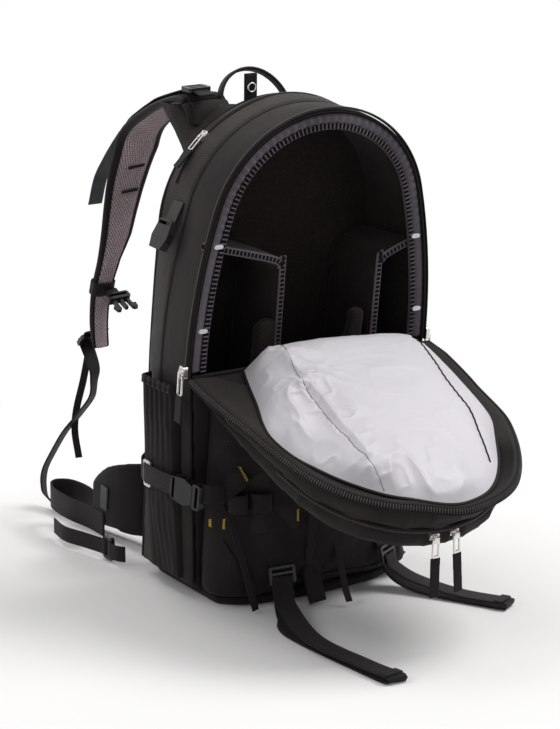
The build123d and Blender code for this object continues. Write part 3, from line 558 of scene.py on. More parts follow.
class Graph:
    """Builds the nodes of one material."""

    def __init__(self, name):
        self.material = bpy.data.materials.new(name)
        self.material.use_nodes = True
        self.tree = self.material.node_tree
        self.shader = next(n for n in self.tree.nodes if n.type == "BSDF_PRINCIPLED")

    def node(self, kind, settings=None, sockets=None, out=0):
        """Adds a node, sets its settings first and then its sockets."""
        n = self.tree.nodes.new(kind)
        for key, value in (settings or {}).items():
            setattr(n, key, value)
        for key, value in (sockets or {}).items():
            self.feed(n.inputs[key], value)
        return Value(self, n.outputs[out])

    def feed(self, socket, value):
        """Links a value or writes a constant."""
        if isinstance(value, Value):
            self.tree.links.new(value.socket, socket)
        else:
            socket.default_value = value

    def mix(self, factor, a, b):
        """Colour between a and b."""
        n = self.tree.nodes.new("ShaderNodeMix")
        n.data_type = "RGBA"
        for key, value in (("Factor_Float", factor), ("A_Color", a), ("B_Color", b)):
            socket = next(s for s in n.inputs if s.identifier == key)
            value = (*value, 1) if isinstance(value, tuple) and len(value) == 3 else value
            self.feed(socket, value)
        return Value(self, next(s for s in n.outputs if s.identifier == "Result_Color"))

    def point(self, uv=False, turn=(0, 0, 0)):
        """Object position or UV, turned."""
        source = self.node("ShaderNodeTexCoord", out="UV" if uv else "Object")
        return self.node("ShaderNodeMapping", None, {"Vector": source, "Rotation": turn})

    def axes(self, vector):
        """The three parts of a vector."""
        n = self.tree.nodes.new("ShaderNodeSeparateXYZ")
        self.feed(n.inputs[0], vector)
        return [Value(self, s) for s in n.outputs]

    def noise(self, vector, scale, detail=3.0, rough=0.55):
        """Noise between 0 and 1."""
        return self.node("ShaderNodeTexNoise", None,
                         {"Vector": vector, "Scale": scale, "Detail": detail, "Roughness": rough})

    def done(self, colour, roughness, height=None, depth=0.0005, strength=1.0, **constants):
        """Feeds the shader; height becomes its bump and the rest are plain numbers."""
        ins = self.shader.inputs
        colour = (*colour, 1) if isinstance(colour, tuple) and len(colour) == 3 else colour
        self.feed(ins["Base Color"], colour)
        self.feed(ins["Roughness"], roughness)
        for key, value in constants.items():
            ins[key.replace("_", " ")].default_value = value
        if height is not None:
            bump = self.node("ShaderNodeBump", None,
                             {"Height": height, "Distance": depth, "Strength": strength})
            self.feed(ins["Normal"], bump)
        return self.material


def shade(colour, k):
    """A colour made lighter or darker."""
    return tuple(min(1.0, c * k) for c in colour)


def woven(name, colour, pitch=0.0011, turn=0.0, rough=0.62, sheen=0.04, fade=0.35, uv=False, depth=0.0002):
    """Plain or twill weave: crossing threads, faded patches and lint."""
    g = Graph(name)
    p = g.point(uv)
    x, y, z = g.axes(p)
    k = 2 * math.pi / pitch
    c, s = math.cos(turn), math.sin(turn)
    if uv:
        u, v = x, y
    else:
        u, v = x + y, z + (x - y) * 0.31
    a = ((u * (c * k)) + (v * (s * k))).sine()
    b = ((v * (c * k)) - (u * (s * k))).sine()
    threads = (a * b) * 0.5 + 0.5
    cloud = g.noise(p, 9.0, 5.0)
    lint = g.noise(p, 900.0, 2.0)
    base = g.mix(cloud.between(0.35, 0.68), shade(colour, 1 - fade * 0.6), shade(colour, 1 + fade))
    base = g.mix(threads * 0.35, base, shade(colour, 0.45))
    base = g.mix(lint.between(0.62, 0.8) * 0.18, base, shade(colour, 2.6))
    height = threads + cloud * 0.8 + g.noise(p, 120.0, 3.0) * 2.2
    return g.done(base, rough + cloud * 0.12 - 0.06, height, depth, Sheen_Weight=sheen, Sheen_Roughness=0.45,
                  Specular_IOR_Level=0.10)


def twill(name, colour, pitch=0.0024, turn=0.9, rough=0.6):
    """Coarse diagonal weave of the rear panels."""
    g = Graph(name)
    p = g.point()
    x, y, z = g.axes(p)
    u, v = x + y, z + (x - y) * 0.31
    k = 2 * math.pi / pitch
    c, s = math.cos(turn), math.sin(turn)
    line = (u * (c * k) + v * (s * k) + g.noise(p, 40.0, 2.0) * 2.2).sine() * 0.5 + 0.5
    cross = (v * (c * 5.2 * k) - u * (s * 5.2 * k)).sine() * 0.5 + 0.5
    cloud = g.noise(p, 7.0, 5.0)
    base = g.mix(cloud.between(0.34, 0.7), shade(colour, 0.8), shade(colour, 1.3))
    base = g.mix(line.between(0.35, 0.75) * 0.4, base, shade(colour, 1.6))
    base = g.mix(cross * 0.2, base, shade(colour, 0.5))
    height = line * 0.9 + cross * 0.35 + cloud * 0.7 + g.noise(p, 90.0, 3.0) * 1.2
    return g.done(base, rough + line * 0.08 - 0.04, height, 0.0004, Sheen_Weight=0.04, Sheen_Roughness=0.5,
                  Specular_IOR_Level=0.10)


def pile(name, colour, rough=0.92, sheen=0.15):
    """Brushed lining that grips hook tape."""
    g = Graph(name)
    p = g.point()
    fuzz = g.noise(p, 700.0, 4.0, 0.7)
    rub = g.noise(p, 14.0, 4.0)
    base = g.mix(fuzz.between(0.3, 0.75), shade(colour, 0.6), shade(colour, 1.5))
    base = g.mix(rub.between(0.5, 0.72) * 0.4, base, shade(colour, 2.0))
    return g.done(base, rough, fuzz + rub * 0.6, 0.0006, Sheen_Weight=sheen, Sheen_Roughness=0.35,
                  Specular_IOR_Level=0.08)


def satin(name, colour):
    """Thin coated lining cloth: soft gloss, fine grid and crush marks."""
    g = Graph(name)
    p = g.point()
    x, y, z = g.axes(p)
    k = 2 * math.pi / 0.0009
    threads = ((x * k).sine() * ((y + z) * k).sine()) * 0.5 + 0.5
    crush = g.noise(p, 26.0, 6.0, 0.62)
    cloud = g.noise(p, 5.0, 3.0)
    base = g.mix(cloud.between(0.3, 0.7), shade(colour, 0.93), shade(colour, 1.05))
    base = g.mix(threads * 0.12, base, shade(colour, 0.8))
    return g.done(base, 0.36 + crush * 0.14, threads * 0.12 + crush * 1.6, 0.0010, 0.45,
                  Sheen_Weight=0.2, Sheen_Roughness=0.3, Specular_IOR_Level=0.5)


def spacer(name, colour, hole_shade, pitch=0.0031):
    """Open spacer mesh: rows of oval holes, each painted dark as the shade inside it."""
    g = Graph(name)
    p = g.point()
    x, y, z = g.axes(p)
    k = 2 * math.pi / pitch
    u, v = x + y * 0.35, z + y * 0.25
    holes = ((u * k).sine() * (v * (k * 0.62)).sine()) * 0.5 + 0.5
    cloud = g.noise(p, 11.0, 4.0)
    yarn = g.mix(cloud.between(0.3, 0.72), shade(colour, 0.78), shade(colour, 1.2))
    # the holes take hole_shade, a darkened copy of the yarn colour: painted shade inside them
    base = g.mix(holes.between(0.52, 0.78), yarn, hole_shade)
    return g.done(base, 0.82, (1 - holes) + g.noise(p, 500.0, 2.0) * 0.3, 0.0009, Sheen_Weight=0.12,
                  Sheen_Roughness=0.5, Specular_IOR_Level=0.1)


def ribbed(name, colour, rough=0.55, pitch=0.0021):
    """Nylon webbing: ribs along and across the strap's own length."""
    g = Graph(name)
    p = g.point(uv=True)
    u, v, _ = g.axes(p)
    k = 2 * math.pi / pitch
    across = (v * k).sine() * 0.5 + 0.5
    bars = (u * (k * 1.6) + across * 1.6).sine() * 0.5 + 0.5
    rub = g.noise(g.point(), 30.0, 4.0)
    base = g.mix(across * 0.45, colour, shade(colour, 0.55))
    base = g.mix(bars * rub.between(0.4, 0.75) * 0.5, base, shade(colour, 1.9))
    return g.done(base, rough + rub * 0.12 - 0.06, across + bars * 0.55, 0.00035, Sheen_Weight=0.04,
                  Sheen_Roughness=0.4, Specular_IOR_Level=0.12)


def moulded(name, colour, rough=0.3, grain=0.5):
    """Moulded plastic with a faint grain and handling marks."""
    g = Graph(name)
    p = g.point()
    fine = g.noise(p, 1400.0, 2.0)
    rub = g.noise(p, 60.0, 5.0, 0.65)
    base = g.mix(rub.between(0.45, 0.8), colour, shade(colour, 1.7))
    return g.done(base, rub * 0.25 + (rough - 0.1), fine * grain + rub * 0.4, 0.00012, Coat_Weight=0.06,
                  Coat_Roughness=0.2, Specular_IOR_Level=0.28)


def plated(name, colour, rough=0.24):
    """Nickel-plated zinc: brushed marks and dull patches."""
    g = Graph(name)
    p = g.point(turn=(0.3, 0.5, 0.1))
    brush = g.noise(g.node("ShaderNodeMapping", None, {"Vector": p, "Scale": (60, 900, 900)}), 3.0, 3.0)
    rub = g.noise(p, 120.0, 5.0, 0.7)
    base = g.mix(rub.between(0.4, 0.75), colour, shade(colour, 0.72))
    return g.done(base, rub * 0.2 + brush * 0.1 + (rough - 0.12), brush * 0.3 + rub * 0.3, 0.00008, Metallic=1.0)


def thread(name, colour, rough=0.6):
    """Twisted sewing thread."""
    g = Graph(name)
    p = g.point()
    x, y, z = g.axes(p)
    ply = ((x + y + z) * (2 * math.pi / 0.0007)).sine() * 0.5 + 0.5
    base = g.mix(ply * 0.6, colour, shade(colour, 0.5))
    return g.done(base, rough, ply, 0.0001, Sheen_Weight=0.2, Specular_IOR_Level=0.4)


# --- settings ------------------------------------------------------------------------------
def colour_property(label, words, value):
    """A linear colour that a user can change."""
    return bpy.props.FloatVectorProperty(name=label, description=words, subtype="COLOR", size=3, min=0, max=1,
                                         default=value)


def length_property(label, words, value):
    """A length in metres that a user can change."""
    return bpy.props.FloatProperty(name=label, description=words, default=value, min=0, unit="LENGTH")


class BackpackColours(bpy.types.PropertyGroup):
    """Colours of the fabrics and fittings."""

    nylon: colour_property("Nylon", "Smooth shell fabric", (0.0240, 0.0200, 0.0194))
    weave: colour_property("Diagonal weave", "Rear panel fabric", (0.0470, 0.0400, 0.0382))
    lining: colour_property("Lid lining", "Satin inside the lid", (0.655, 0.628, 0.668))
    pile: colour_property("Compartment", "Brushed lining of the compartment", (0.0260, 0.0215, 0.0195))
    edge: colour_property("Padded edge", "Gathered cloth round the opening", (0.138, 0.120, 0.146))
    mesh: colour_property("Spacer mesh", "Open mesh on the harness", (0.540, 0.432, 0.456))
    webbing: colour_property("Webbing", "Black webbing", (0.0140, 0.0115, 0.0110))
    tails: colour_property("Grey webbing", "Grey strap ends", (0.072, 0.076, 0.088))
    bars: colour_property("Bar tacks", "Yellow bar-tack thread", (0.70, 0.47, 0.03))
    plastic: colour_property("Plastic", "Moulded buckles", (0.0105, 0.0095, 0.0090))
    metal: colour_property("Metal", "Plated zip fittings", (0.74, 0.72, 0.69))
    studs: colour_property("Studs", "White divider studs", (0.86, 0.87, 0.89))


class BackpackSizes(bpy.types.PropertyGroup):
    """Sizes of the sewn details."""

    stitch: length_property("Stitch pitch", "Distance between stitches", 0.0034)
    tooth: length_property("Tooth pitch", "Distance between zip teeth", 0.0024)
    rung: length_property("Ladder pitch", "Distance between the rungs of the ladder edging", 0.0052)
    gather: length_property("Gather pitch", "Distance between the gathers of the padded edge", 0.0105)
    fold: length_property("Fold depth", "Depth of the folds in the shell fabric", 0.0031)
    weave: length_property("Weave pitch", "Thread spacing of the smooth fabric", 0.0011)
    voxel: length_property("Padding grain", "Cell size of the padded pieces", 0.0045)


MATERIALS = {}


def materials():
    """Makes every material once."""
    if MATERIALS:
        return MATERIALS
    c, s = bpy.context.scene.backpack_colours, bpy.context.scene.backpack_sizes
    t = tuple
    MATERIALS.update(
        nylon=woven("Smooth nylon", t(c.nylon), s.weave),
        # pocket: the smooth nylon darkened, painted shade for the lid's shadow over the front pocket; also used on the
        # base panel and the waist wings
        pocket=woven("Nylon with painted shade", shade(t(c.nylon), 0.62), s.weave),
        stretch=woven("Stretch pocket fabric", shade(t(c.nylon), 0.62), 0.0016, 0.6, 0.8, 0.05),
        weave=twill("Diagonal weave", t(c.weave)),
        binding=woven("Binding tape", shade(t(c.nylon), 0.7), 0.0014, 0.0, 0.6, 0.04, uv=True),
        lining=satin("Satin lining", t(c.lining)),
        pile=pile("Brushed lining", t(c.pile)),
        edge=woven("Padded edge cloth", t(c.edge), 0.0009, 0.0, 0.6, 0.15, 0.4),
        # the second colour, the mesh darkened, is painted shade for the holes
        mesh=spacer("Spacer mesh", t(c.mesh), shade(t(c.mesh), 0.16)),
        webbing=ribbed("Black webbing", t(c.webbing)),
        tails=ribbed("Grey webbing", t(c.tails)),
        bars=thread("Bar-tack thread", t(c.bars)),
        seam=thread("Seam thread", shade(t(c.nylon), 1.9)),
        light_seam=thread("Lining thread", shade(t(c.lining), 0.5)),
        plastic=moulded("Black acetal", t(c.plastic), 0.28),
        grey_plastic=moulded("Grey acetal", shade(t(c.plastic), 1.9), 0.5),
        # teeth: the black plastic lightened 5.5 times, a painted highlight standing in for the glints on the coil's
        # teeth
        teeth=moulded("Zip coil with painted glints", shade(t(c.plastic), 5.5), 0.3),
        ladder=pile("Ladder edging yarn", shade(t(c.pile), 0.35)),
        tape=woven("Zip tape", shade(t(c.nylon), 0.7), 0.0012, 0.8, uv=True),
        metal=plated("Plated zinc", t(c.metal)),
        steel=plated("Dull steel", shade(t(c.metal), 0.8), 0.3),
        studs=moulded("White stud plastic", t(c.studs), 0.3, 0.2),
    )
    return MATERIALS


def paint_cad(node, mat):
    """Gives a rigid CAD node its material."""
    mesh = frame["nodes"][node].data
    mesh.materials.clear()
    mesh.materials.append(mat)


# --- outlines of the pack --------------------------------------------------------------
def tree_of(*nodes):
    """Ray-cast tree of CAD solids."""
    verts, polys = [], []
    for node in nodes:
        mesh = frame["nodes"][node].data
        start = len(verts)
        verts += [v.co.copy() for v in mesh.vertices]
        polys += [[start + i for i in p.vertices] for p in mesh.polygons]
    return BVHTree.FromPolygons(verts, polys)


CACHE = {}
OUTLINE_Z, OUTLINE_TURN = 0.30, math.radians(153.8)    # where the rays aim and how far round they go


def outline(y0, count=301):
    """Outer outline of the shell in the leaning plane that meets the floor at y0, left foot to right foot."""
    key = (round(y0, 5), count)
    if key in CACHE:
        return CACHE[key]
    if "shell" not in CACHE:
        CACHE["shell"] = tree_of("gusset_front", "gusset_rear")
    centre = Vector((0, y0 - SHEAR * OUTLINE_Z, OUTLINE_Z))
    found = []
    for a in np.linspace(-OUTLINE_TURN, OUTLINE_TURN, 600):
        d = Vector((math.sin(a), -SHEAR * math.cos(a), math.cos(a)))
        hit = CACHE["shell"].ray_cast(centre + d * 0.6, -d)[0]
        if hit is not None:
            found.append(tuple(hit))
    CACHE[key] = resample(np.array(found), count=count)
    return CACHE[key]


def inward(line):
    """In-plane inward direction of an outline."""
    t = tangents(line)
    across = np.array([0, -math.cos(LEAN), -math.sin(LEAN)])
    n = unit(np.cross(t, across))
    middle = line.mean(0)
    return n if ((middle - line) * n).sum() > 0 else -n


def lean(x, z, y0):
    """Point of the leaning plane that meets the floor at y0."""
    return np.array([x, y0 - SHEAR * z, z])


def shifted(line, amount):
    """Outline moved outwards in its plane; the amount is a number or one per point."""
    return line - inward(line) * np.broadcast_to(amount, len(line))[:, None]


def above(line, z):
    """The stretch of an outline above a height."""
    keep = np.where(line[:, 2] > z)[0]
    return line[keep[0]:keep[-1] + 1]


# --- shell -------------------------------------------------------------------------------
def fold_field(p, seed):
    """Folds of the shell fabric at points of the outline: diagonal creases, deeper low down."""
    skew = np.stack([p[..., 0] * 0.6, p[..., 1] + p[..., 2] * 0.55, p[..., 2] * 0.9 - p[..., 1] * 0.4], -1)
    low = 1 - ease((p[..., 2] - 0.10) / 0.30)
    crease = ridges(skew, 17, seed, 3) * 0.65 + ridges(skew * [1, 2.1, 1.3], 34, seed + 1, 4) * 0.35
    return crease * (0.45 + 0.9 * low) + 0.35 * noise(p, 12, seed + 2)


def band(name, rows, mat, seed, bulge, fold):
    """A closed fabric band round the arch; rows give floor depth and offset of the outside."""
    count = 361
    outer, inner = [], []
    spread = [r[0] for r in rows]
    for y0, out in rows:
        plane = float(np.clip(y0, SHELL_FRONT, SHELL_BACK))
        line = outline(plane, count) + [0, y0 - plane, 0]
        t = (y0 - spread[0]) / (spread[-1] - spread[0])
        swell = math.sin(math.pi * np.clip(t, 0, 1)) ** 0.6
        free = np.ones(len(line))
        for node in ("upper_buckle_left", "upper_buckle_right"):
            spot = np.mean(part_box(node), axis=0)
            clear = ease((np.linalg.norm((line - spot)[:, 1:], axis=1) - 0.022) / 0.03)
            free *= np.where(line[:, 0] * spot[0] > 0, clear, 1)
        swell = swell * (0.1 + 0.9 * free)
        crease = fold_field(line, seed) * fold * swell
        outer.append(shifted(line, out + bulge * swell + crease))
        inner.append(shifted(line, -0.0026))
    pts = np.stack(outer + inner[::-1], 1)
    s = lengths(pts[:, 0])
    v = np.cumsum(np.concatenate([[0], np.linalg.norm(np.diff(pts[count // 2], axis=0), axis=1)]))
    uvs = np.stack(np.broadcast_arrays(s[:, None], v[None]), -1)
    return outward(grid(name, pts, mat, uvs, close_m=True, caps=True))


def shell_bands():
    """Front and rear bands of the arch with seam, piping and stitching."""
    m, s = materials(), bpy.context.scene.backpack_sizes
    rows = [(-0.0388, -0.002), (-0.0404, -0.0008), (-0.0396, 0.0006)]
    rows += [(y, 0.0006) for y in np.linspace(-0.036, 0.019, 15)] + [(0.0205, -0.0004), (0.0216, -0.0018)]
    front = band("Gusset_front", rows, m["nylon"], 3, 0.0022, s.fold * 0.55)
    finish(front, "pack", ["gusset_front"])
    rows = [(0.0222, -0.0018), (0.0232, -0.0002), (0.025, 0.0008)]
    rows += [(y, 0.001) for y in np.linspace(0.028, 0.072, 14)] + [(0.076, 0.0006), (0.0778, -0.0012)]
    rear = band("Gusset_rear", rows, m["weave"], 9, 0.0038, s.fold)
    finish(rear, "pack", ["gusset_rear"])
    seam = shifted(outline(0.0219), 0.0007)
    finish(tube("Seam_piping", seam[::2], 0.0016, m["binding"]), "pack")
    back = shifted(outline(0.0768), 0.0012)
    finish(tube("Back_piping", back[::2], 0.0024, m["binding"]), "pack")
    lines = [shifted(outline(y), out) for y, out in ((0.0180, 0.0024), (0.0262, 0.0036), (0.0712, 0.0036))]
    out = [-inward(line) for line in lines]
    stitches("Band_stitches", lines, out, "pack", (0.0023, 0.0007, 0.0008))


def zip_run(name, line, out, across, body, replaces=(), width=0.0068, tooth=(0.0014, 0.0036, 0.0016), pitch=1.0):
    """Zip tape with a raised coil along a line that faces outwards."""
    m, s = materials(), bpy.context.scene.backpack_sizes
    t = tangents(line)
    across = unit(across - (across * t).sum(1, keepdims=True) * t)
    tape = section_sweep(name + "_tape", line, across, out, web_section(width, 0.0012), m["tape"])
    finish(tape, body, replaces)
    coil = section_sweep(name + "_coil", line + out * 0.0008, across, out, web_section(0.0026, 0.0014), m["tape"])
    finish(coil, body)
    teeth = row(name + "_teeth", line + out * 0.0014, out, "teeth", m["teeth"], s.tooth * pitch, tooth,
                0.0009 if pitch == 1 else 0.0)
    finish(teeth, body)


def body_zips():
    """Zip round the front rim and the one over the back of the arch."""
    rim = above(shifted(outline(-0.0372, 601), 0.0030), 0.287)
    zip_run("Body_zip", rim, -inward(rim), np.broadcast_to([0, 1.0, 0], rim.shape), "pack",
            ["body_zip"])
    top = above(shifted(outline(0.0580, 601), 0.0054), 0.490)
    zip_run("Top_zip", top, -inward(top), np.broadcast_to([0, 1.0, 0], top.shape), "pack",
            ["top_zip"], 0.0085)


def boards():
    """Base, lower front wall and back board."""
    m = materials()
    # the base takes the nylon darkened with painted shade
    base = soft_copy("Base_panel", ["base_panel"], m["pocket"], 0.0035, 5)
    finish(base, "pack", ["base_panel"])
    wall = soft_copy("Front_wall", ["front_wall"], m["nylon"], 0.0030, 4)
    finish(wall, "pack", ["front_wall"])
    back = soft_copy("Back_panel", ["back_panel"], m["weave"], 0.0045, 4)
    push(back, np.where(vertex_normals(back)[:, 1] > 0.5, 0.001 * noise(coords(back), 18, 4), 0))
    finish(back, "pack", ["back_panel"])


# --- insert ------------------------------------------------------------------------------
def insert_foam():
    """Padded insert with its gathered edge and ladder trim."""
    m, s = materials(), bpy.context.scene.backpack_sizes
    foam = soft_copy("Padded_insert", ["padded_insert"], m["pile"], 0.0024, 6)
    push(foam, noise(coords(foam), 30, 5) * 0.0006)
    finish(foam, "pack", ["padded_insert"])
    line = above(shifted(outline(-0.0352, 721), -0.0088), 0.286)
    d = lengths(line)
    arch = ease((line[:, 2] - 0.38) / 0.10)
    pull = np.sin(2 * math.pi * d / s.gather + 1.3 * noise(line, 20, 6)) * 0.5 + 0.5
    pull = pull ** 1.6 * (0.25 + 0.75 * arch)
    inwards, ahead = inward(line), np.broadcast_to(FRONT, line.shape)
    depth = 1 + 0.42 * (pull - 0.5)
    sections = oval(14, 0.0068, 0.0048)[None] * np.stack([1 + 0.05 * (pull - 0.5), depth], 1)[:, None]
    edge = section_sweep("Padded_edge", line, inwards, ahead, sections, m["edge"])
    finish(edge, "pack", ())
    inner = above(shifted(outline(-0.0378, 721), -0.0178), 0.286)
    tape = section_sweep("Ladder_tape", inner, inward(inner), np.broadcast_to(FRONT, inner.shape),
                         web_section(0.0066, 0.0028), m["ladder"])
    finish(tape, "pack", ["insert_edging"])
    face = np.broadcast_to(FRONT, inner.shape)
    rungs = row("Ladder_rungs", inner + face * 0.0016, face, "rungs", m["edge"], s.rung,
                (0.0016, 0.0066, 0.0013))
    rim = section_sweep("Ladder_rim", inner + inward(inner) * 0.0036, inward(inner),
                        np.broadcast_to(FRONT, inner.shape), web_section(0.0016, 0.0032), m["edge"])
    finish(rim, "pack")
    finish(rungs, "pack")


DIVIDER_EDGES = {"left": ((-0.150, 0.4350), (-0.058, 0.4084), (-0.045, 0.397), (-0.0425, 0.380), (-0.0425, 0.024)),
                 "right": ((0.150, 0.4130), (0.104, 0.3958), (0.093, 0.386), (0.0905, 0.368), (0.0905, 0.024))}


def dividers():
    """Padded dividers with bound front edges, the lens cradle and the studs."""
    m, s = materials(), bpy.context.scene.backpack_sizes
    for name, places in DIVIDER_EDGES.items():
        pad = soft_copy("Divider_" + name, ["divider_" + name], m["pile"], 0.0028, 4)
        push(pad, noise(coords(pad), 34, 7) * 0.0007)
        finish(pad, "pack", ["divider_" + name])
        line = dense([lean(x, z, -0.0352) for x, z in places], 0.003)
        face = np.broadcast_to(FRONT, line.shape)
        across = unit(np.cross(tangents(line), face))
        bind = section_sweep("Divider_edge_" + name, line, across, face, web_section(0.0088, 0.0030), m["edge"])
        finish(bind, "pack")
        squares = row("Divider_rungs_" + name, line + face * 0.0014, face, "rungs", m["ladder"], s.rung,
                      (0.0034, 0.0052, 0.0008))
        finish(squares, "pack")
    cradle = soft_copy("Lens_cradle", ["lens_cradle"], m["pile"], 0.0030, 7)
    push(cradle, noise(coords(cradle), 28, 8) * 0.0009)
    finish(cradle, "pack", ["lens_cradle"])
    paint_cad("divider_studs", m["studs"])


# --- lid ---------------------------------------------------------------------------------
LID_HALF, LID_REACH, LID_ROUND = 0.160, 0.292, 0.140
LID_SHIFT, LID_SPREAD = 0.008, 0.006     # how far the open lid hangs over to the right
RIM_OUT, RIM_LONG = 0.011, 0.015         # how far its rim flares to the right and at the tip


def lid_point(x, w, n):
    """Frame position of points across, along and above the lid's rim."""
    x, w, n = np.broadcast_arrays(np.asarray(x, float), w, n)
    skew = LID_SHIFT * ease(w / 0.13) + LID_SPREAD * ease(x / 0.08) * ease(w / 0.04) * (1 - ease((w - 0.16) / 0.1))
    flare = 1 - ease(-n / 0.028)
    skew = skew + flare * RIM_OUT * ease(x / 0.09) * ease((w - 0.10) / 0.08)
    reach = w + flare * RIM_LONG * ease((x + 0.05) / 0.07) * ease((w - 0.19) / 0.09)
    return (LID_AT + (x + skew)[..., None] * X + reach[..., None] * LID_OUT + n[..., None] * LID_UP)


def lid_rim(count):
    """Across and along positions of the rim, from the left end of the hinge round the tip."""
    a, h, r = LID_HALF, LID_REACH, LID_ROUND
    side = (a * a + (h - r) ** 2 - r * r) / (2 * (a - r))
    join = math.atan2(h - r, side - a)
    flank = [(a - side + side * math.cos(t), side * math.sin(t)) for t in np.linspace(0.012, join, 60)]
    cap = [(r * math.cos(t), h - r + r * math.sin(t)) for t in np.linspace(join, math.pi / 2, 50)[1:]]
    half = np.array(flank + cap)
    both = np.vstack([half * [-1, 1], half[::-1][1:]])
    return resample(both, count=count)


def lid_depth(w):
    """Depth of the lid's side at a distance from the hinge."""
    return 0.0022 + 0.0318 * w / LID_REACH


def lid_bowl():
    """Outside of the lid: two bulging bands, the pocket and the soft outer face."""
    m, s = materials(), bpy.context.scene.backpack_sizes
    rim = lid_rim(401)
    w = rim[:, 1]
    out = unit(np.cross(tangents(np.column_stack([rim, np.zeros(len(rim))])), Z))[:, :2]
    out *= np.sign(((rim - [0, 0.12]) * out).sum(1))[:, None]
    d = lid_depth(w)
    pocket = 0.030 * ease(w / 0.12) * np.minimum(1, w / LID_REACH + 0.15)
    depth_profile = [(0.0, 0.0000, -0.0250), (0.0, 0.0014, -0.0060), (0.0, 0.0012, -0.0014), (0.02, 0.0, 0.0004),
                     (0.10, 0, 0.0004), (0.24, 0, 0.0024), (0.42, 0, 0.0044), (0.60, 0, 0.0048), (0.76, 0, 0.0034),
                     (0.90, 0, 0.0008), (1.0, 0, -0.0012), (1.10, 0, 0.0000), (1.28, 0, 0.0036), (1.5, 0, 0.0040),
                     (1.72, 0, 0.0012), (1.88, 0, -0.0060), (2.0, 0, -0.0180)]
    rows = []
    along = lengths(rim)
    for share, lift, grow in depth_profile:
        n = lift - d * min(share, 1) - pocket * max(0, share - 1)
        crease = ridges(np.stack([along, n * 2.2, 0 * n], -1), 40, 12, 3) * math.sin(
            math.pi * min(share, 2) / 2.0) * s.fold * 1.3
        crease = crease * ease(w / 0.08)
        inset = grow * (1 if share else np.where(grow < -0.01, np.clip(1.0 - 0.8 * ease((w - 0.12) / 0.12), 0.2, 1),
                                                 1))
        q = rim + out * (inset + crease)[:, None]
        rows.append(lid_point(q[:, 0], np.maximum(q[:, 1], 0.0035), n))
    centre = np.array([0, 0.13])
    q = rim - out * 0.018
    base = -(d + pocket) - 0.0005
    for t in (0.12, 0.3, 0.5, 0.7, 0.88):
        r = centre + (q - centre) * (1 - t)
        n = base * (1 - t) + t * -(lid_depth(0.13) + 0.0125) - 0.004 * math.sin(math.pi * t)
        n = n + 0.0016 * noise(np.stack([r[:, 0], r[:, 1], 0 * r[:, 0]], -1), 26, 13)
        rows.append(lid_point(r[:, 0], np.maximum(r[:, 1], 0.0035), n))
    bowl = closed_grid("Lid_bowl", np.stack(rows, 1), lid_point(0.0, 0.13, -(lid_depth(0.13) + 0.014)),
                       lid_point(0.0, 0.12, -0.0015), m["nylon"])
    finish(bowl, "lid", ["lid_shell", "lid_pocket"])
    lid_seams(rim, out, d)


def lid_seams(rim, out, d):
    """Rim zip, pocket zip and stitch lines of the lid."""
    keep = rim[:, 1] > 0.006
    r, o, depth = rim[keep], out[keep], d[keep]
    q = r + o * 0.0026
    line = lid_point(q[:, 0], q[:, 1], np.full(len(q), -0.0024))
    t = tangents(line)
    outward_dir = unit(np.cross(t, np.broadcast_to(LID_UP, t.shape)))
    outward_dir *= np.sign(((line - LID_AT - 0.12 * LID_OUT) * outward_dir).sum(1))[:, None]
    face = unit(outward_dir + 0.9 * LID_UP)
    zip_run("Lid_zip", line, face, np.cross(t, face), "lid", ["lid_zip"], 0.0100,
            (0.0017, 0.0068, 0.0024), 1.35)
    for name, share, grow in (("upper", 0.14, 0.0016), ("lower", 0.86, 0.0020)):
        q = r + o * grow
        line = lid_point(q[:, 0], q[:, 1], -depth * share)
        mid = line[r[:, 1] > 0.06]
        look = outward_dir[r[:, 1] > 0.06]
        stitches("Lid_stitches_" + name, mid, look, "lid")
    far = r[:, 1] > 0.165
    q = r[far] + o[far] * 0.0032
    line = lid_point(q[:, 0], q[:, 1], -depth[far] * 1.02)
    zip_run("Lid_pocket_zip", line, outward_dir[far], np.broadcast_to(LID_UP, line.shape), "lid",
            ["lid_pocket_zip"])


LINING_EDGE = ((-0.095, 0.010), (-0.106, 0.040), (-0.119, 0.075), (-0.133, 0.108), (-0.138, 0.135), (-0.132, 0.170),
               (-0.118, 0.199), (-0.096, 0.232), (-0.062, 0.2655), (-0.020, 0.2845), (0.014, 0.2850),
               (0.048, 0.2735), (0.082, 0.2400), (0.112, 0.190), (0.129, 0.145), (0.138, 0.105), (0.140, 0.060),
               (0.139, 0.030), (0.134, 0.010))
CROWN_W = ((0.0, 0.02, 0.05, 0.10, 0.16, 0.22, 0.29), (0.043, 0.044, 0.041, 0.034, 0.027, 0.021, 0.013))
CROWN_X = ((-0.10, -0.07, -0.01, 0.03, 0.075, 0.12, 0.14), (0.95, 1.0, 1.0, 0.90, 0.80, 0.66, 0.60))
SEAMS = (((-0.058, 0.012), (-0.064, 0.03), (-0.0765, 0.088), (-0.078, 0.15), (-0.075, 0.208), (-0.067, 0.258)),
         ((0.124, 0.012), (0.120, 0.03), (0.108, 0.078), (0.092, 0.150), (0.070, 0.240)))


def seam_distance(x, w):
    """Distance from the nearest sewn line of the lining."""
    near = np.full(x.shape, 1.0)
    for points in SEAMS:
        line = dense(np.array([(a, b, 0) for a, b in points]), 0.003)
        for a in line[:, :2]:
            near = np.minimum(near, np.hypot(x - a[0], w - a[1]))
    return near


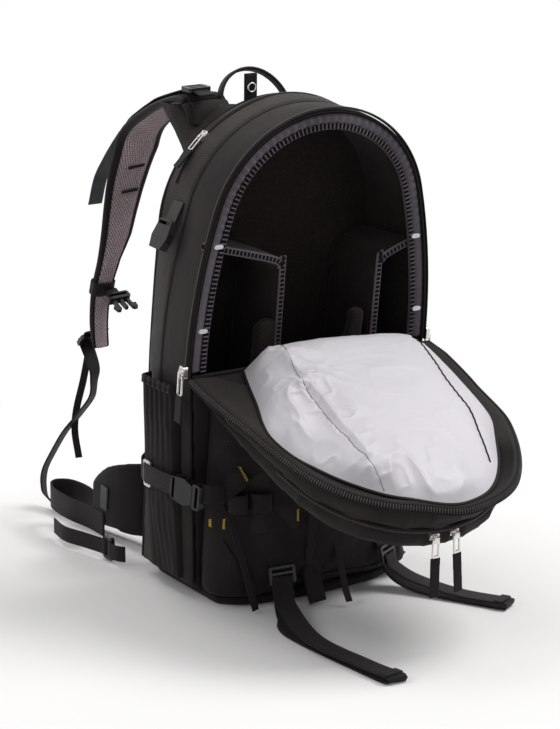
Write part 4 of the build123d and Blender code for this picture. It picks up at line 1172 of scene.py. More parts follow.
def lining():
    """Satin pillow inside the lid: crowned, with two sewn lines and crushed folds."""
    m = materials()
    outer = dense(np.array([(a, b, 0) for a, b in LINING_EDGE]), 0.003)[:, :2]
    back = np.stack([np.linspace(0.134, -0.095, 90)[1:-1], np.full(88, 0.010)], 1)
    edge = resample(np.vstack([outer, back]), count=561)
    centre = np.array([0, 0.125])
    steps = 1 - np.linspace(0, 1, 74) ** 1.25 * 0.985
    x = centre[0] + (edge[:, 0][:, None] - centre[0]) * steps[None]
    w = centre[1] + (edge[:, 1][:, None] - centre[1]) * steps[None]
    t = 1 - steps[None]
    inset = np.hypot(x - edge[:, :1], w - edge[:, 1:])
    hinge = np.exp(-((w - 0.010) / 0.0055))
    crown = np.interp(w, *CROWN_W) * np.interp(x, *CROWN_X) * (1 - hinge)
    crown = crown * np.where(edge[:, 1:] < 0.0105, 1, 1 - np.exp(-inset / 0.017))
    side = np.minimum(np.abs(x + 0.100), np.abs(0.139 - x))
    crown = crown * np.where(edge[:, 1:] < 0.0105, 1 - np.exp(-(side + 0.002) / 0.014), 1)
    near = seam_distance(x, w)
    p = np.stack([x, w, 0 * x], -1)
    left = 0.16 + 1.3 * (1 - ease((x + 0.085) / 0.075)) + 0.6 * ease((w - 0.17) / 0.08) * (1 - ease(x / 0.06))
    warp = p + 0.010 * np.stack([noise(p, 22, 21), noise(p, 22, 22), 0 * x], -1)
    crush = (ridges(warp * [1.0, 0.42, 1], 36, 23, 3) * 0.0050 + ridges(warp * [0.8, 0.9, 1], 76, 24, 4) * 0.0016
             + 0.0036 * noise(warp, 16, 25))
    pucker = 0.0004 * np.sin(2 * math.pi * (w + 0.3 * x) / 0.009) * np.exp(-(near / 0.008) ** 2)
    sewn = 0.0010 * np.exp(-(near / 0.0030) ** 2)
    n = 0.0012 + crown + (crush * left + pucker - sewn) * ease(t / 0.10) + 0.0012 * noise(p, 9, 27) * ease(t / 0.2)
    low = lid_point(edge[:, 0], edge[:, 1], -0.0006)
    rows = np.concatenate([low[:, None], lid_point(x, w, n)], 1)
    pillow = closed_grid("Lid_lining", rows, lid_point(*centre, float(n[:, -1].mean())),
                         lid_point(*centre, -0.0006), m["lining"])
    finish(pillow, "lid", ["lid_lining"])
    tree = BVHTree.FromPolygons([v.co.copy() for v in pillow.data.vertices], [tuple(f.vertices) for f in
                                                                              pillow.data.polygons])
    lines = []
    for points in SEAMS:
        line = []
        for a, b, _ in dense(np.array([(a, b, 0) for a, b in points]), 0.003):
            hit = tree.ray_cast(Vector(lid_point(a, b, 0.09)), -Vector(LID_UP))[0]
            if hit is not None:
                line.append(tuple(hit))
        lines.append(np.array(line))
    cords = [finish(tube("Lining_fold_%d" % i, line + LID_UP * 0.0001, size, m[mat]), "lid")
             for i, (line, size, mat) in enumerate(zip(lines, (0.0005, 0.0012), ("light_seam", "binding")))]
    for piece in [pillow] + cords:
        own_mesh(piece)
    finish_border(edge)


def finish_border(edge):
    """Bound edge between the lining and the rim."""
    m = materials()
    line = lid_point(edge[:, 0], edge[:, 1], np.full(len(edge), 0.0016))
    closed = line[edge[:, 1] > 0.0115]
    bind = section_sweep("Lining_binding", closed, unit(np.cross(tangents(closed), LID_UP)),
                         np.broadcast_to(LID_UP, closed.shape), web_section(0.0040, 0.0018), m["binding"])
    finish(bind, "lid")
    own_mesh(bind)


def hinge_cloth():
    """Folded fabric that joins the lid to the front wall."""
    m = materials()
    x = np.linspace(-0.155, 0.155, 120)
    from_wall, mid = lean(0, 0.268, -0.0410), LID_AT + np.array([0, -0.0035, -0.0065])
    to_lid = LID_AT + LID_OUT * 0.012 - LID_UP * 0.0045
    rows = []
    for t in np.linspace(0, 1, 9):
        p = (1 - t) ** 2 * from_wall + 2 * t * (1 - t) * mid + t * t * to_lid
        rows.append(np.stack([x, np.full(len(x), p[1]), np.full(len(x), p[2])], 1))
    pts = np.stack(rows, 1)
    pts[..., 2] += 0.0007 * noise(pts, 60, 31)
    fold = thicken(grid("Hinge_fabric", pts, m["nylon"]), 0.0012, 0.0)
    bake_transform(fold)


# --- pockets -----------------------------------------------------------------------------
def front_pocket():
    """Bulging front pocket and its flap."""
    m, s = materials(), bpy.context.scene.backpack_sizes
    # the pocket's cloth is the nylon darkened with painted shade
    pocket = soft_copy("Front_pocket", ["front_pocket"], m["pocket"], 0.0045, 9)
    co = coords(pocket)
    skew = np.stack([co[:, 0] * 1.2 + co[:, 2] * 0.5, co[:, 1], co[:, 2] * 1.5 - co[:, 0] * 0.3], 1)
    crease = ridges(skew, 19, 41, 3) * 0.7 + ridges(skew, 41, 42, 4) * 0.3
    front = np.clip(-vertex_normals(pocket)[:, 1], 0, 1)
    push(pocket, (crease - 0.45) * s.fold * 1.7 * front + 0.0012 * noise(co, 15, 43) * front)
    puff(pocket, 0.0035, 3.0, 0.0015)
    finish(pocket, "pack", ["front_pocket"])
    flap = soft_copy("Pocket_flap", ["pocket_flap"], m["nylon"], 0.0016, 5)
    push(flap, 0.0006 * noise(coords(flap), 50, 44))
    finish(flap, "pack", ["pocket_flap"])


def on_front(x, z, out=0.0006):
    """Point on the front of the lower bag at x and z, found by a ray, and its normal."""
    if "front" not in CACHE:
        CACHE["front"] = tree_of("front_pocket", "pocket_flap", "front_wall", "gusset_front")
    hit, normal = CACHE["front"].ray_cast(Vector((x, -0.3, z)), Vector((0, 1, 0)))[:2]
    return np.array(hit) + np.array(normal) * out, np.array(normal)


def surface_line(points, step=0.003, out=0.0006):
    """Line of points on the front, with normals."""
    flat = dense(np.array([(x, 0, z) for x, z in points]), step)
    both = [on_front(p[0], p[2], out) for p in flat]
    return np.array([b[0] for b in both]), unit(np.array([b[1] for b in both]))


def bartack(name, places, mat):
    """Short dense zigzags of bar-tack thread, each across a webbing end."""
    lines, looks = [], []
    for (x0, z0), (x1, z1) in places:
        count = 14
        zig = [(x0 + (x1 - x0) * i / count + (z1 - z0) * 0.09 * (-1) ** i * 0.8,
                z0 + (z1 - z0) * i / count) for i in range(count + 1)]
        both = [on_front(x, z, 0.0056) for x, z in zig]
        lines.append(np.array([b[0] for b in both]))
        looks.append(unit(np.array([b[1] for b in both])))
    return row(name, lines, looks, "stitches", mat, 0.0007, (0.0010, 0.0009, 0.0008))


def front_trim():
    """Loops, tapes, tacks and narrow tails on the front pocket."""
    m = materials()
    line, normal = surface_line(((-0.126, 0.246), (-0.08, 0.2505), (0, 0.2515), (0.08, 0.2505), (0.126, 0.246)))
    finish(tube("Pocket_piping", line, 0.0021, m["binding"]), "pack")
    line, normal = surface_line(((-0.124, 0.205), (-0.06, 0.214), (0.02, 0.216), (0.09, 0.213), (0.126, 0.205)))
    stitches("Pocket_stitches", [line, line - [0, 0, 0.006]], [normal, normal], "pack")
    loops = (((-0.121, -0.095), (-0.1235, -0.104), (-0.116, -0.1115), (-0.106, -0.1125), (-0.102, -0.099)),
             ((-0.097, -0.100), (-0.098, -0.1125), (-0.089, -0.1195), (-0.078, -0.1195), (-0.074, -0.109)))
    for i, points in enumerate(loops):
        web("Side_loop_%d" % i, [(x, y, 0.132) for x, y in points], 0.022, Z, stands_for=["pocket_webbing"])
    left = [(x / 1000, y / 1000, z / 1000) for x, y, z in
            ((-123, -94, 130), (-119, -105, 100), (-112, -113, 62), (-104, -116, 28), (-99, -119, 4))]
    mid = [(0.006, y / 1000, z / 1000) for y, z in ((-122, 84), (-128, 70), (-138, 42), (-148, 18), (-156, 6))]
    for name, points in (("left", left), ("middle", mid)):
        web("Narrow_tail_" + name, points, 0.009, X, 0.0014)
    hang = [on_front(-0.020 + 0.06 * (z - 0.1), z, 0.003)[0] for z in (0.112, 0.095, 0.075, 0.055, 0.040)]
    hang += [hang[-1] + [0.0, -0.006, -0.018], hang[-1] + [0.001, -0.012, -0.035]]
    web("Wide_tail", hang, 0.024, X, 0.0017)
    lead = [on_front(x, z, 0.0034)[0] for x, z in ((-0.128, 0.143), (-0.120, 0.150), (-0.112, 0.158), (-0.103, 0.166))]
    web("Pocket_lead", lead, 0.022, (0.5, 0, 0.85), 0.0018, 0.003)
    foot = ((-0.127, 0.086), (-0.105, 0.052), (-0.06, 0.034), (0.03, 0.027), (0.125, 0.026))
    line, normal = surface_line(foot, 0.003, 0.0010)
    finish(tube("Pocket_seam", line, 0.0014, m["binding"]), "pack")
    tacks = (((-0.1105, 0.176), (-0.1015, 0.156)), ((-0.1340, 0.103), (-0.1340, 0.112)),
             ((-0.1250, 0.102), (-0.1245, 0.114)), ((-0.046, 0.106), (-0.046, 0.120)))
    finish(bartack("Bar_tacks", tacks, m["bars"]), "pack")


FLOOR_STRAPS = ((-0.066, -5, 0.268), (0.074, 30, 0.168))
FLOOR_LOCK = ((0.0125, 0.043), (0.22, -0.97))
LOCK_FRONT = ((1.5, 0.3), (1.8, 3.2), (4.5, 4.2), (12, 3.9))
LOCK_BACK = ((1.5, -1.6), (2.4, -3.4), (4.5, -4.0), (12, -3.8))
LOCK_ROOT = ((-5.5, 0.2), (-5.8, 2.6), (-7.6, 4.0), (-12, 3.8))
LOCK_ANCHOR = ((-5.5, -0.2), (-5.8, -2.6), (-7.6, -4.0), (-12, -4.4))


def in_lock(centre, along, points):
    """Points of a lock's own frame, given in millimetres, in the view that the strap is drawn in."""
    size = math.hypot(*along)
    ax, az = along[0] / size, along[1] / size
    return [(centre[0] + (x * ax - n * az) / 1000, centre[1] + (x * az + n * ax) / 1000) for x, n in points]


def floor_straps():
    """Doubled straps from the pocket's foot over the floor, with folded tips."""
    for i, (x, turn, reach) in enumerate(FLOOR_STRAPS):
        a = math.radians(turn)
        ahead, side = np.array([math.sin(a), -math.cos(a), 0]), np.array([math.cos(a), math.sin(a), 0])
        bend = [(0, 0), (reach + 0.02, 0)] if turn > 0 else [
            (-0.004, 0), (0.014, 0), (0.060, -0.015), (0.100, -0.025), (0.145, -0.022), (0.188, -0.013),
            (reach + 0.02, 0.012)]
        plan = dense(np.array([(u, v, 0) for u, v in bend]), 0.004)

        def place(points):
            out = []
            for u, h in points:
                v = np.interp(u, plan[:, 0], plan[:, 1])
                out.append(np.array([x, -0.112, 0]) + u * ahead + v * side + h * Z)
            return np.array(out)

        back, front = in_lock(*FLOOR_LOCK, LOCK_BACK), in_lock(*FLOOR_LOCK, LOCK_FRONT)
        lower = [(0.017, 0.022), (0.030, 0.012), (0.054, 0.005), (0.098, 0.0022), (reach - 0.03, 0.0018),
                 (reach, 0.0020)]
        upper = [(reach + 0.003, 0.0045), (reach, 0.0080), (reach - 0.05, 0.0078), (reach / 2, 0.0105),
                 (0.046, 0.0175), (0.024, 0.027)]
        route = place(back + lower + upper + front[::-1])
        web("Floor_strap_%d" % i, route, 0.025, side, 0.0017, stands_for=["front_straps"])
        anchor = place(in_lock(*FLOOR_LOCK, LOCK_ANCHOR) + [(-0.003, 0.066)])
        web("Floor_anchor_%d" % i, anchor, 0.025, side, 0.0017)
        tip = place([(reach - 0.012, 0.0096), (reach - 0.001, 0.0096)])
        web("Floor_tip_%d" % i, tip, 0.026, side, 0.0026, 0.002)


def side_pockets():
    """Stretch side pockets with gathered elastic tops."""
    m = materials()
    for name, side in SIDES:
        node = "side_pocket_" + name
        tree = tree_of(node)
        rows = []
        for z in np.linspace(0.0228, 0.2672, 76):
            shift = -SHEAR * z
            line = []
            for y in np.linspace(-0.0236, 0.0474, 40) + shift:
                hit = tree.ray_cast(Vector((side * 0.3, y, z)), Vector((-side, 0, 0)))[0]
                line.append(hit[0] if hit else np.nan)
            line = np.array(line)
            ok = ~np.isnan(line)
            line = np.interp(np.arange(40), np.where(ok)[0], line[ok])
            v = np.linspace(0, 1, 40)
            wall = side * (0.0010 + np.interp(z, [0.012, 0.284], [0.137, 0.160]))
            lip = ease(np.minimum(v, 1 - v) / 0.05)
            xs = wall * (1 - lip) + line * lip
            rows.append(np.stack([xs, np.linspace(-0.0236, 0.0474, 40) + shift, np.full(40, z)], 1))
        pts = np.stack(rows, 0)
        zz, v = pts[..., 2], np.linspace(0, 1, 40)[None]
        up = ease((zz - 0.16) / 0.10)
        pleat = np.sin(2 * math.pi * (v * 6.3 + 0.25 * noise(pts, 25, 51))) * (0.0003 + 0.0008 * up)
        crease = ridges(pts * [1, 1.5, 0.55], 24, 52 + side, 3) * 0.0016
        belly = 0.0035 * np.sin(math.pi * v) * np.sin(math.pi * np.clip((zz - 0.02) / 0.25, 0, 1))
        pts[..., 0] += side * ((pleat + crease + belly) * ease(np.minimum(v, 1 - v) / 0.12))
        skin = grid("Side_pocket_" + name, pts, m["stretch"], flip=side < 0)
        finish(thicken(skin, 0.0018), "pack", [node])
        top = pts[-1]
        bind = section_sweep("Pocket_elastic_" + name, top + [side * 0.0004, 0, -0.004],
                             np.broadcast_to(unit(np.array([0, -SHEAR, 1.0])), top.shape),
                             np.broadcast_to([side, 0, 0.0], top.shape), web_section(0.011, 0.0032), m["binding"])
        finish(bind, "pack")
        look = np.broadcast_to([side, 0, 0.0], top.shape)
        lines = [top + [side * 0.0022, 0, -0.0075], top + [side * 0.0022, 0, -0.0008]]
        stitches("Elastic_stitches_" + name, lines, [look, look], "pack")


def compression():
    """Side straps over the pockets, through the triglides and closed buckles."""
    m = materials()
    rear = ((-140, 56), (-147, 49), (-157, 39), (-163.5, 30), (-168.5, 18), (-170.5, 6), (-170.5, -20), (-167.6, -57))
    front = ((-159.5, -92), (-152, -104), (-139, -107), (-129, -102))
    for name, side in SIDES:
        for part, route in (("rear", rear), ("front", front)):
            points = [(-side * x / 1000, y / 1000, 0.148) for x, y in route]
            nodes = ["compression_straps"] if part == "rear" and side < 0 else []
            web("Compression_%s_%s" % (part, name), points, 0.024, Z, stands_for=nodes)
    paint_cad("buckle_sockets", m["plastic"])
    paint_cad("buckle_prongs", m["plastic"])
    paint_cad("strap_triglides", m["steel"])


# --- harness -----------------------------------------------------------------------------
PAD_PATHS = {
    "left": ((14, 548), (22, 566), (44, 575), (90, 563), (137, 542), (180, 516), (203, 484), (220, 447), (230, 410),
             (237, 376), (246, 343), (259, 312), (266, 286), (268, 255), (264, 228)),
    "right": ((14, 518), (24, 527), (46, 530), (88, 521), (128, 502), (164, 476), (188, 446), (204, 412), (214, 378),
              (222, 346), (231, 316), (240, 290), (245, 266), (246, 238), (242, 212))}
PAD_T, LOCK_X = 0.013, 0.086
LOCK_OUT, LOCK_DIR = (0.036, 0.005), (0.75, -0.66)


def pad_path(name):
    """Middle line of a shoulder pad in the side view."""
    return dense(np.array([(0, y / 1000, z / 1000) for y, z in PAD_PATHS[name]]), 0.0035)

def pad_index(path, z):
    """Where the falling part of a pad's line is at a height."""
    return int(np.argmin(np.abs(path[:, 2] - z) + 1e3 * (path[:, 1] < 0.15)))

def pad_limits(z):
    """Inner and outer edge of a shoulder pad at a height."""
    inner = np.interp(z, [0.19, 0.26, 0.31, 0.345, 0.376, 0.41, 0.447, 0.49, 0.56],
                      [0.079, 0.077, 0.074, 0.070, 0.059, 0.053, 0.046, 0.040, 0.046])
    outer = np.interp(z, [0.19, 0.26, 0.33, 0.40, 0.48, 0.52, 0.6], [0.099, 0.102, 0.102, 0.101, 0.101, 0.104, 0.106])
    return inner, outer


def shoulder_pads():
    """Curved padded straps: mesh towards the wearer, smooth nylon outside, wide binding."""
    m = materials()
    for name, side in SIDES:
        path = pad_path(name)
        t = tangents(path)
        normal = unit(np.cross(t, X))
        normal *= np.sign((normal[:, 1:] * [[1.0, 0.6]]).sum(1))[:, None]
        inner, outer = pad_limits(path[:, 2])
        middle, half = (inner + outer) / 2 * side, (outer - inner) / 2
        d = lengths(path)
        share = d / d[-1]
        u = np.array([-1, -0.97, -0.88, -0.74, -0.72, -0.55, -0.3, 0, 0.3, 0.55, 0.72, 0.74, 0.88, 0.97, 1])
        lift = np.array([0.0, 0.36, 0.62, 0.70, 0.60, 0.86, 0.97, 1.0, 0.97, 0.86, 0.60, 0.70, 0.62, 0.36, 0.0])
        fill = 0.5 * PAD_T * (1 + 0.06 * noise(path, 30, 61)) * (0.35 + 0.65 * ease(share / 0.05)) * (
            0.45 + 0.55 * ease((1 - share) / 0.06))
        top, low = [], []
        for a, b in zip(u, lift):
            base = path + X * (middle + half * a)[:, None]
            bump = 0.0005 * noise(base, 40, 62) * b
            top.append(base + normal * (fill * b * 1.06 + bump)[:, None])
            low.append(base - normal * (fill * b * 0.98 + bump)[:, None])
        pts = np.stack(top + low[::-1][1:-1], 1)
        n, k = pts.shape[:2]
        faces = grid_faces(n, k, close_m=True) + [tuple(range(k)), tuple((n - 1) * k + j for j in range(k))[::-1]]
        column = [0 if 3 < j < 10 else 2 for j in range(len(u) - 1)]
        column += [1 if 3 < j < 10 else 2 for j in range(len(u) - 1)]
        slots = [column[j] if column[j] != 1 or share[i] > 0.09 else 0 for i in range(n - 1) for j in range(k)]
        slots += [2, 2]
        pad = make("Shoulder_pad_" + name, pts.reshape(-1, 3), faces, mats=[m["nylon"], m["mesh"], m["binding"]],
                   slots=slots)
        pad = subdivide(outward(pad), 1)
        finish(pad, "pack", ["shoulder_pad_" + name])
        lines, looks = [], []
        for a in (-0.70, 0.70):
            for k_side in (1, -1):
                base = path + X * (middle + half * a)[:, None] + normal * (k_side * fill * 0.72)[:, None]
                lines.append(base[6:-6])
                looks.append((normal * k_side)[6:-6])
        stitches("Pad_stitches_" + name, lines, looks, "pack", (0.0023, 0.0008, 0.0009))
        for i, z0 in enumerate((0.468, 0.436)):
            at = pad_index(path, z0)
            c = path[at] + X * (middle[at] - side * 0.004) - normal[at] * (fill[at] + 0.0006)
            web("Pad_slot_%s_%d" % (name, i), [c - X * 0.011, c + X * 0.011 + Z * 0.002], 0.0042, t[at], step=0.003,
                mat="binding")


def yoke_and_pads():
    """Yoke, back pads and lumbar pad: puffed foam under open mesh."""
    m, s = materials(), bpy.context.scene.backpack_sizes
    for name, nodes, fill, cap in (("Harness_yoke", "harness_yoke", 0.6, 0.0035),
                                   ("Back_pads", "back_pads", 0.75, 0.0045), ("Lumbar_pad", "lumbar_pad", 0.8, 0.0045)):
        pad = soft_copy(name, [nodes], m["mesh"], s.voxel, 7)
        pad = puff(pad, cap, 4.0, 0.0015)
        pad = subdivide(pad, 1)
        finish(pad, "pack", [nodes])


def yoke_sides():
    """Soft gussets that carry each pad's root down to the back of the pack."""
    m = materials()
    for name, side in SIDES:
        top = {"left": 0.568, "right": 0.528}[name]
        rows = []
        for t in np.linspace(0, 1, 14):
            z = top - 0.062 * t
            back = BACK_Y - SHEAR * z - 0.010
            reach = back + 0.070 * (1 - t) ** 1.4 + 0.016
            arch = math.sqrt(max(0.0, 0.160 ** 2 - (z - 0.414) ** 2)) - 0.006
            rows.append([(side * (min(arch, 0.104) + (0.104 - min(arch, 0.104)) * ease(k / 0.75)),
                          back + (reach - back) * k, z) for k in np.linspace(0, 1, 16)])
        pts = np.array(rows)
        pts[..., 0] += side * 0.0012 * noise(pts, 60, 64)
        panel = thicken(grid("Yoke_side_" + name, pts, m["nylon"]), 0.005, 0.0)
        finish(panel, "pack", ())


def load_lifters():
    """Webbing over each pad's root through its lock, with a grey tail."""
    m = materials()
    for name, side in SIDES:
        run = pad_path(name)
        run = run[(run[:, 1] > 0.043) & (run[:, 2] > run[-1, 2] + 0.1)]
        run = run[run[:, 1] < (0.205 if name == "left" else 0.19)][::8]
        z0 = {"left": 0.575, "right": 0.530}[name] + PAD_T / 2
        over = [(0, 0.003, z0 + 0.003), (0, 0.024, z0 + 0.0062), (0, 0.040, z0 + 0.0050)]
        route = over + [(0, y + 0.001, z + PAD_T / 2 + 0.0022) for _, y, z in run[2:]]
        route = np.array(route) + X * side * LOCK_X
        web("Load_lifter_" + name, route, 0.020, X, stands_for=["load_lifter_straps"])
        y1, z1 = route[-1, 1], route[-1, 2]
        drop = [(0, y1 - 0.004, z1 + 0.004), (0, y1 + 0.018, z1 - 0.016), (0, y1 + 0.038, z1 - 0.036),
                (0, y1 + 0.062, z1 - 0.064), (0, y1 + 0.078, z1 - 0.100)]
        tail = np.array(drop) + X * side * (LOCK_X + 0.004)
        web("Lifter_tail_" + name, tail, 0.0195, X, 0.0016, mat="tails")
    paint_cad("ladder_locks", m["plastic"])


def pad_end(name):
    """Lower end of a shoulder pad in the side view."""
    return {"left": (0.264, 0.226), "right": (0.242, 0.210)}[name]


BOW_END = 0.006
BOW = ((0.087, 0.024, 0.13), (0.089, 0.021, 0.21), (0.092, 0.022, 0.30), (0.098, 0.043, 0.42), (0.108, 0.066, 0.55),
       (0.118, 0.084, 0.70), (0.124, 0.093, 0.80), (0.126, 0.094, 0.89), (0.127, 0.083, 0.955), (0.122, 0.049, 0.99),
       (0.114, 0.005, 0.97))


def shoulder_webbing():
    """Webbing from each pad through its lock, bowing down to the foot of the pack."""
    for name, side in SIDES:
        y, z = pad_end(name)
        lock = ((y + LOCK_OUT[0], z + LOCK_OUT[1]), LOCK_DIR)
        root = in_lock(*lock, LOCK_ROOT)
        link = [(side * LOCK_X, a, b) for a, b in [(y + 0.003, z + 0.024), (y + 0.016, z + 0.0205)] + root[::-1]]
        web("Pad_link_" + name, link, 0.020, X, step=0.002)
        free = in_lock(*lock, LOCK_FRONT)
        route = [(side * LOCK_X, a, b) for a, b in free]
        route += [(side * x, y + dy, z + (BOW_END - z) * k) for x, dy, k in BOW]
        route += [(side * 0.094, 0.170, 0.016), (side * 0.088, 0.110, 0.022), (side * LOCK_X, 0.086, 0.032)]
        turn = [(1, 0, 0)] * len(free) + [(0.9, -0.3, 0.1), (0.78, -0.55, 0.2)] + [(0.72, -0.64, 0.24)] * 5
        turn += [(0.68, -0.6, 0.4), (0.6, -0.4, 0.6), (0.5, 0, 0.8), (0.5, 0, 0.8), (0.7, 0, 0.7)]
        turn = np.array((turn + [(1, 0, 0)] * len(route))[:len(route)]) * [side, 1, 1] * side
        web("Shoulder_webbing_" + name, route, 0.020, turn, stands_for=["shoulder_webbing"] if side < 0 else [])
        second = [(side * LOCK_X, y + 0.040, z - 0.014), (side * 0.092, y + 0.044, z - 0.05),
                  (side * 0.096, y + 0.056, z - 0.09), (side * 0.097, y + 0.060, z - 0.12),
                  (side * 0.094, y + 0.056, z - 0.155)]
        web("Webbing_tail_" + name, second, 0.0090, (side * 0.8, 0.6, 0), 0.0016)


def sternum():
    """Chest strap stubs with the loose buckle halves and the wrap round each pad."""
    m = materials()
    for name, side in SIDES:
        node = "sternum_strap_" + name
        low, high = (np.array(v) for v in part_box(node))
        parts = cad_copy("Sternum_prong_" + name, node, keep=lambda c: (c - Vector((low + high) / 2)).length < 0.022
                         and c[2] < high[2] - 0.004)
        if len(parts.data.vertices) == 0:
            raise RuntimeError("the chest buckle's plastic half was not found")
        parts.data.materials.append(m["plastic"])
        finish(parts, node, [node])
        path = pad_path(name)
        i = pad_index(path, 0.306)
        t = tangents(path)[i]
        normal = unit(np.cross(t, X))
        inner, outer = pad_limits(path[i, 2])
        c, half = path[i] + X * side * (inner + outer) / 2, (outer - inner) / 2
        ring = [c + X * half * a * 1.03 + normal * PAD_T * 0.5 * b for a, b in
                ((-1, 0), (-0.95, 0.8), (-0.5, 1.16), (0.5, 1.16), (0.95, 0.8), (1, 0), (0.95, -0.8), (0.5, -1.16),
                 (-0.5, -1.16), (-0.95, -0.8), (-1, 0))]
        web("Sternum_wrap_" + name, np.array(ring), 0.019, t)
        top = np.array([side * 0.080, high[1] + 0.001, high[2] - 0.001])
        ahead = unit(np.array([0.0, -0.92, -0.38]))
        stub = [top, top + ahead * 0.012, top + ahead * 0.024]
        web("Sternum_web_" + name, stub, 0.018, X, step=0.002, body=node)


def waist():
    """Waist wings, the loose belt and its low tail."""
    m = materials()
    bow = ((-157.2, 138), (-157.8, 178), (-163, 222), (-160, 268), (-146, 290), (-128, 280), (-122, 246), (-128, 208),
           (-138, 182))
    for name, side in SIDES:
        wing_node, strap_node = "waist_wing_" + name, "waist_strap_" + name
        # the wing takes the nylon darkened with painted shade
        wing = soft_copy("Waist_wing_" + name, [wing_node], m["pocket"], 0.0035, 6)
        push(wing, 0.0008 * noise(coords(wing), 36, 71) - 0.0003)
        wing = subdivide(puff(wing, 0.0022, 2.5, 0.001), 1)
        finish(wing, wing_node, [wing_node])
        route = [(-side * x / 1000, y / 1000, 0.044) for x, y in bow]
        web("Waist_belt_" + name, route, 0.030, Z, 0.0019, body=wing_node, stands_for=[strap_node])
        centre, along = (-0.155, 0.1305), (0, 1)
        free = in_lock(centre, along, LOCK_FRONT) + [(-0.166, 0.170), (-0.176, 0.205), (-0.172, 0.240)]
        fixed = in_lock(centre, along, LOCK_ROOT) + [(-0.157, 0.106), (-0.151, 0.097)]
        for part, points in (("tail", free), ("root", fixed)):
            route = [(-side * x, y, 0.017) for x, y in points]
            web("Waist_%s_%s" % (part, name), route, 0.020, Z, step=0.003, body=wing_node)
        lock = cad_copy("Waist_lock_" + name, strap_node, keep=lambda c: abs(c[1] - 0.1305) < 0.004 and
                        abs(abs(c[0]) - 0.155) < 0.0022)
        lock.data.materials.append(m["plastic"])
        finish(lock, wing_node)
        grey = [(side * 0.1567, 0.136 + 0.001 * k, 0.094 - 0.010 * k) for k in range(4)]
        web("Wing_tab_" + name, grey, 0.016, (0, 1, 0), body=wing_node, mat="tails")


def handles():
    """Haul handle, the ring tab and the loose upper buckles."""
    m = materials()
    hinge = next(j for j in frame["record"]["behaviour"]["joints"] if j["name"] == "haul_handle_fold")
    at, tilt = np.array(hinge["pos_m"]), math.radians(22)
    up, back = np.array([0, math.sin(tilt), math.cos(tilt)]), np.array([0, math.cos(tilt), -math.sin(tilt)])
    arc = np.linspace(math.pi, 0, 15)
    route = [(-44.5, 0), *zip(44.5 * np.cos(arc), 12 + 45 * np.sin(arc)), (44.5, 0)]
    points = [at + X * (x - 3 - 6 * math.sin(math.pi * min(h, 57) / 114)) / 1000 + up * h / 1000 for x, h in route]
    web("Haul_handle", points, 0.011, back, 0.0036, body="haul_handle", stands_for=["haul_handle"])
    low, high = (np.array(v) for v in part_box("handle_tab"))
    ring = cad_copy("Handle_ring", "handle_tab", keep=lambda c: c[1] < low[1] + 0.0022)
    ring.data.materials.append(m["steel"])
    finish(ring, "pack", ["handle_tab"])
    x = (low[0] + high[0]) / 2
    tab = [(x, high[1] - 0.0014, low[2] - 0.001), (x, high[1] - 0.0018, high[2] - 0.004),
           (x, high[1] - 0.002, high[2] + 0.006)]
    web("Handle_tab", tab, 0.0175, X, 0.0034, 0.002)
    for name, _ in SIDES:
        paint_cad("upper_buckle_" + name, m["grey_plastic"])


PULLS = (("main_tab_left", "main_pull_left"), ("main_tab_right", "main_pull_right"), ("top_tab", "top_pull"),
         ("lid_tab_left", "lid_pull_left"), ("lid_tab_right", "lid_pull_right"))


def pulls():
    """Cloth tabs on the zip pulls, and the metal of sliders and pulls."""
    m = materials()
    for node, body in PULLS:
        tab = soft_copy("Tab_" + node, [node], m["binding"], 0.0009, 3)
        tab = subdivide(tab, 1)
        finish(tab, body, [node])
    for node in ("main_sliders", "top_slider", "lid_slider_left", "lid_slider_right", *(body for _, body in PULLS)):
        paint_cad(node, m["metal"])


# --- studio --------------------------------------------------------------------------------
CAMERA_AIM = (0.0, 0.0, 0.280)
CAMERA_FAR, CAMERA_TURN, CAMERA_RISE = 3.300, math.radians(32), math.radians(15.5)
CAMERA_FIELD = math.radians(14.84)
CAMERA_OFF = (0.0071, -0.0236)    # aim to the camera's right and above the point it looks at


def camera():
    """Telephoto camera, from the front left and a little above."""
    data = bpy.data.cameras.new("Camera")
    data.sensor_fit = "VERTICAL"
    data.angle = CAMERA_FIELD
    cam = new_object("Camera", data)
    back = Vector((-math.sin(CAMERA_TURN) * math.cos(CAMERA_RISE), -math.cos(CAMERA_TURN) * math.cos(CAMERA_RISE),
                   math.sin(CAMERA_RISE)))
    turn = (-back).to_track_quat("-Z", "Y")
    right, up = turn @ Vector((1, 0, 0)), turn @ Vector((0, 1, 0))
    cam.location = Vector(CAMERA_AIM) + back * CAMERA_FAR + right * CAMERA_OFF[0] + up * CAMERA_OFF[1]
    cam.rotation_mode = "QUATERNION"
    cam.rotation_quaternion = turn
    data.clip_end = 40
    bpy.context.scene.camera = cam


LAMP_AIM = (0, -0.05, 0.25)
LAMPS = (("Key", (1.5, -0.5, 2.7), 1.4, 58), ("Side", (-2.5, 0.1, 1.9), 1.2, 12), ("Back", (-0.6, 1.3, 2.5), 1.5, 18))
SURROUND = 0.42                  # strength of the white surround as light
FLOOR_HALF, FLOOR_FADE = 2.4, (0.22, 1.10)

def lamp(name, at, size, watts):
    """A soft square lamp aimed at the bag."""
    data = bpy.data.lights.new(name, "AREA")
    data.shape = "SQUARE"
    data.size = size
    data.energy = watts
    obj = new_object(name, data)
    obj.location = at
    obj.rotation_mode = "QUATERNION"
    obj.rotation_quaternion = (Vector(LAMP_AIM) - Vector(at)).to_track_quat("-Z", "Y")


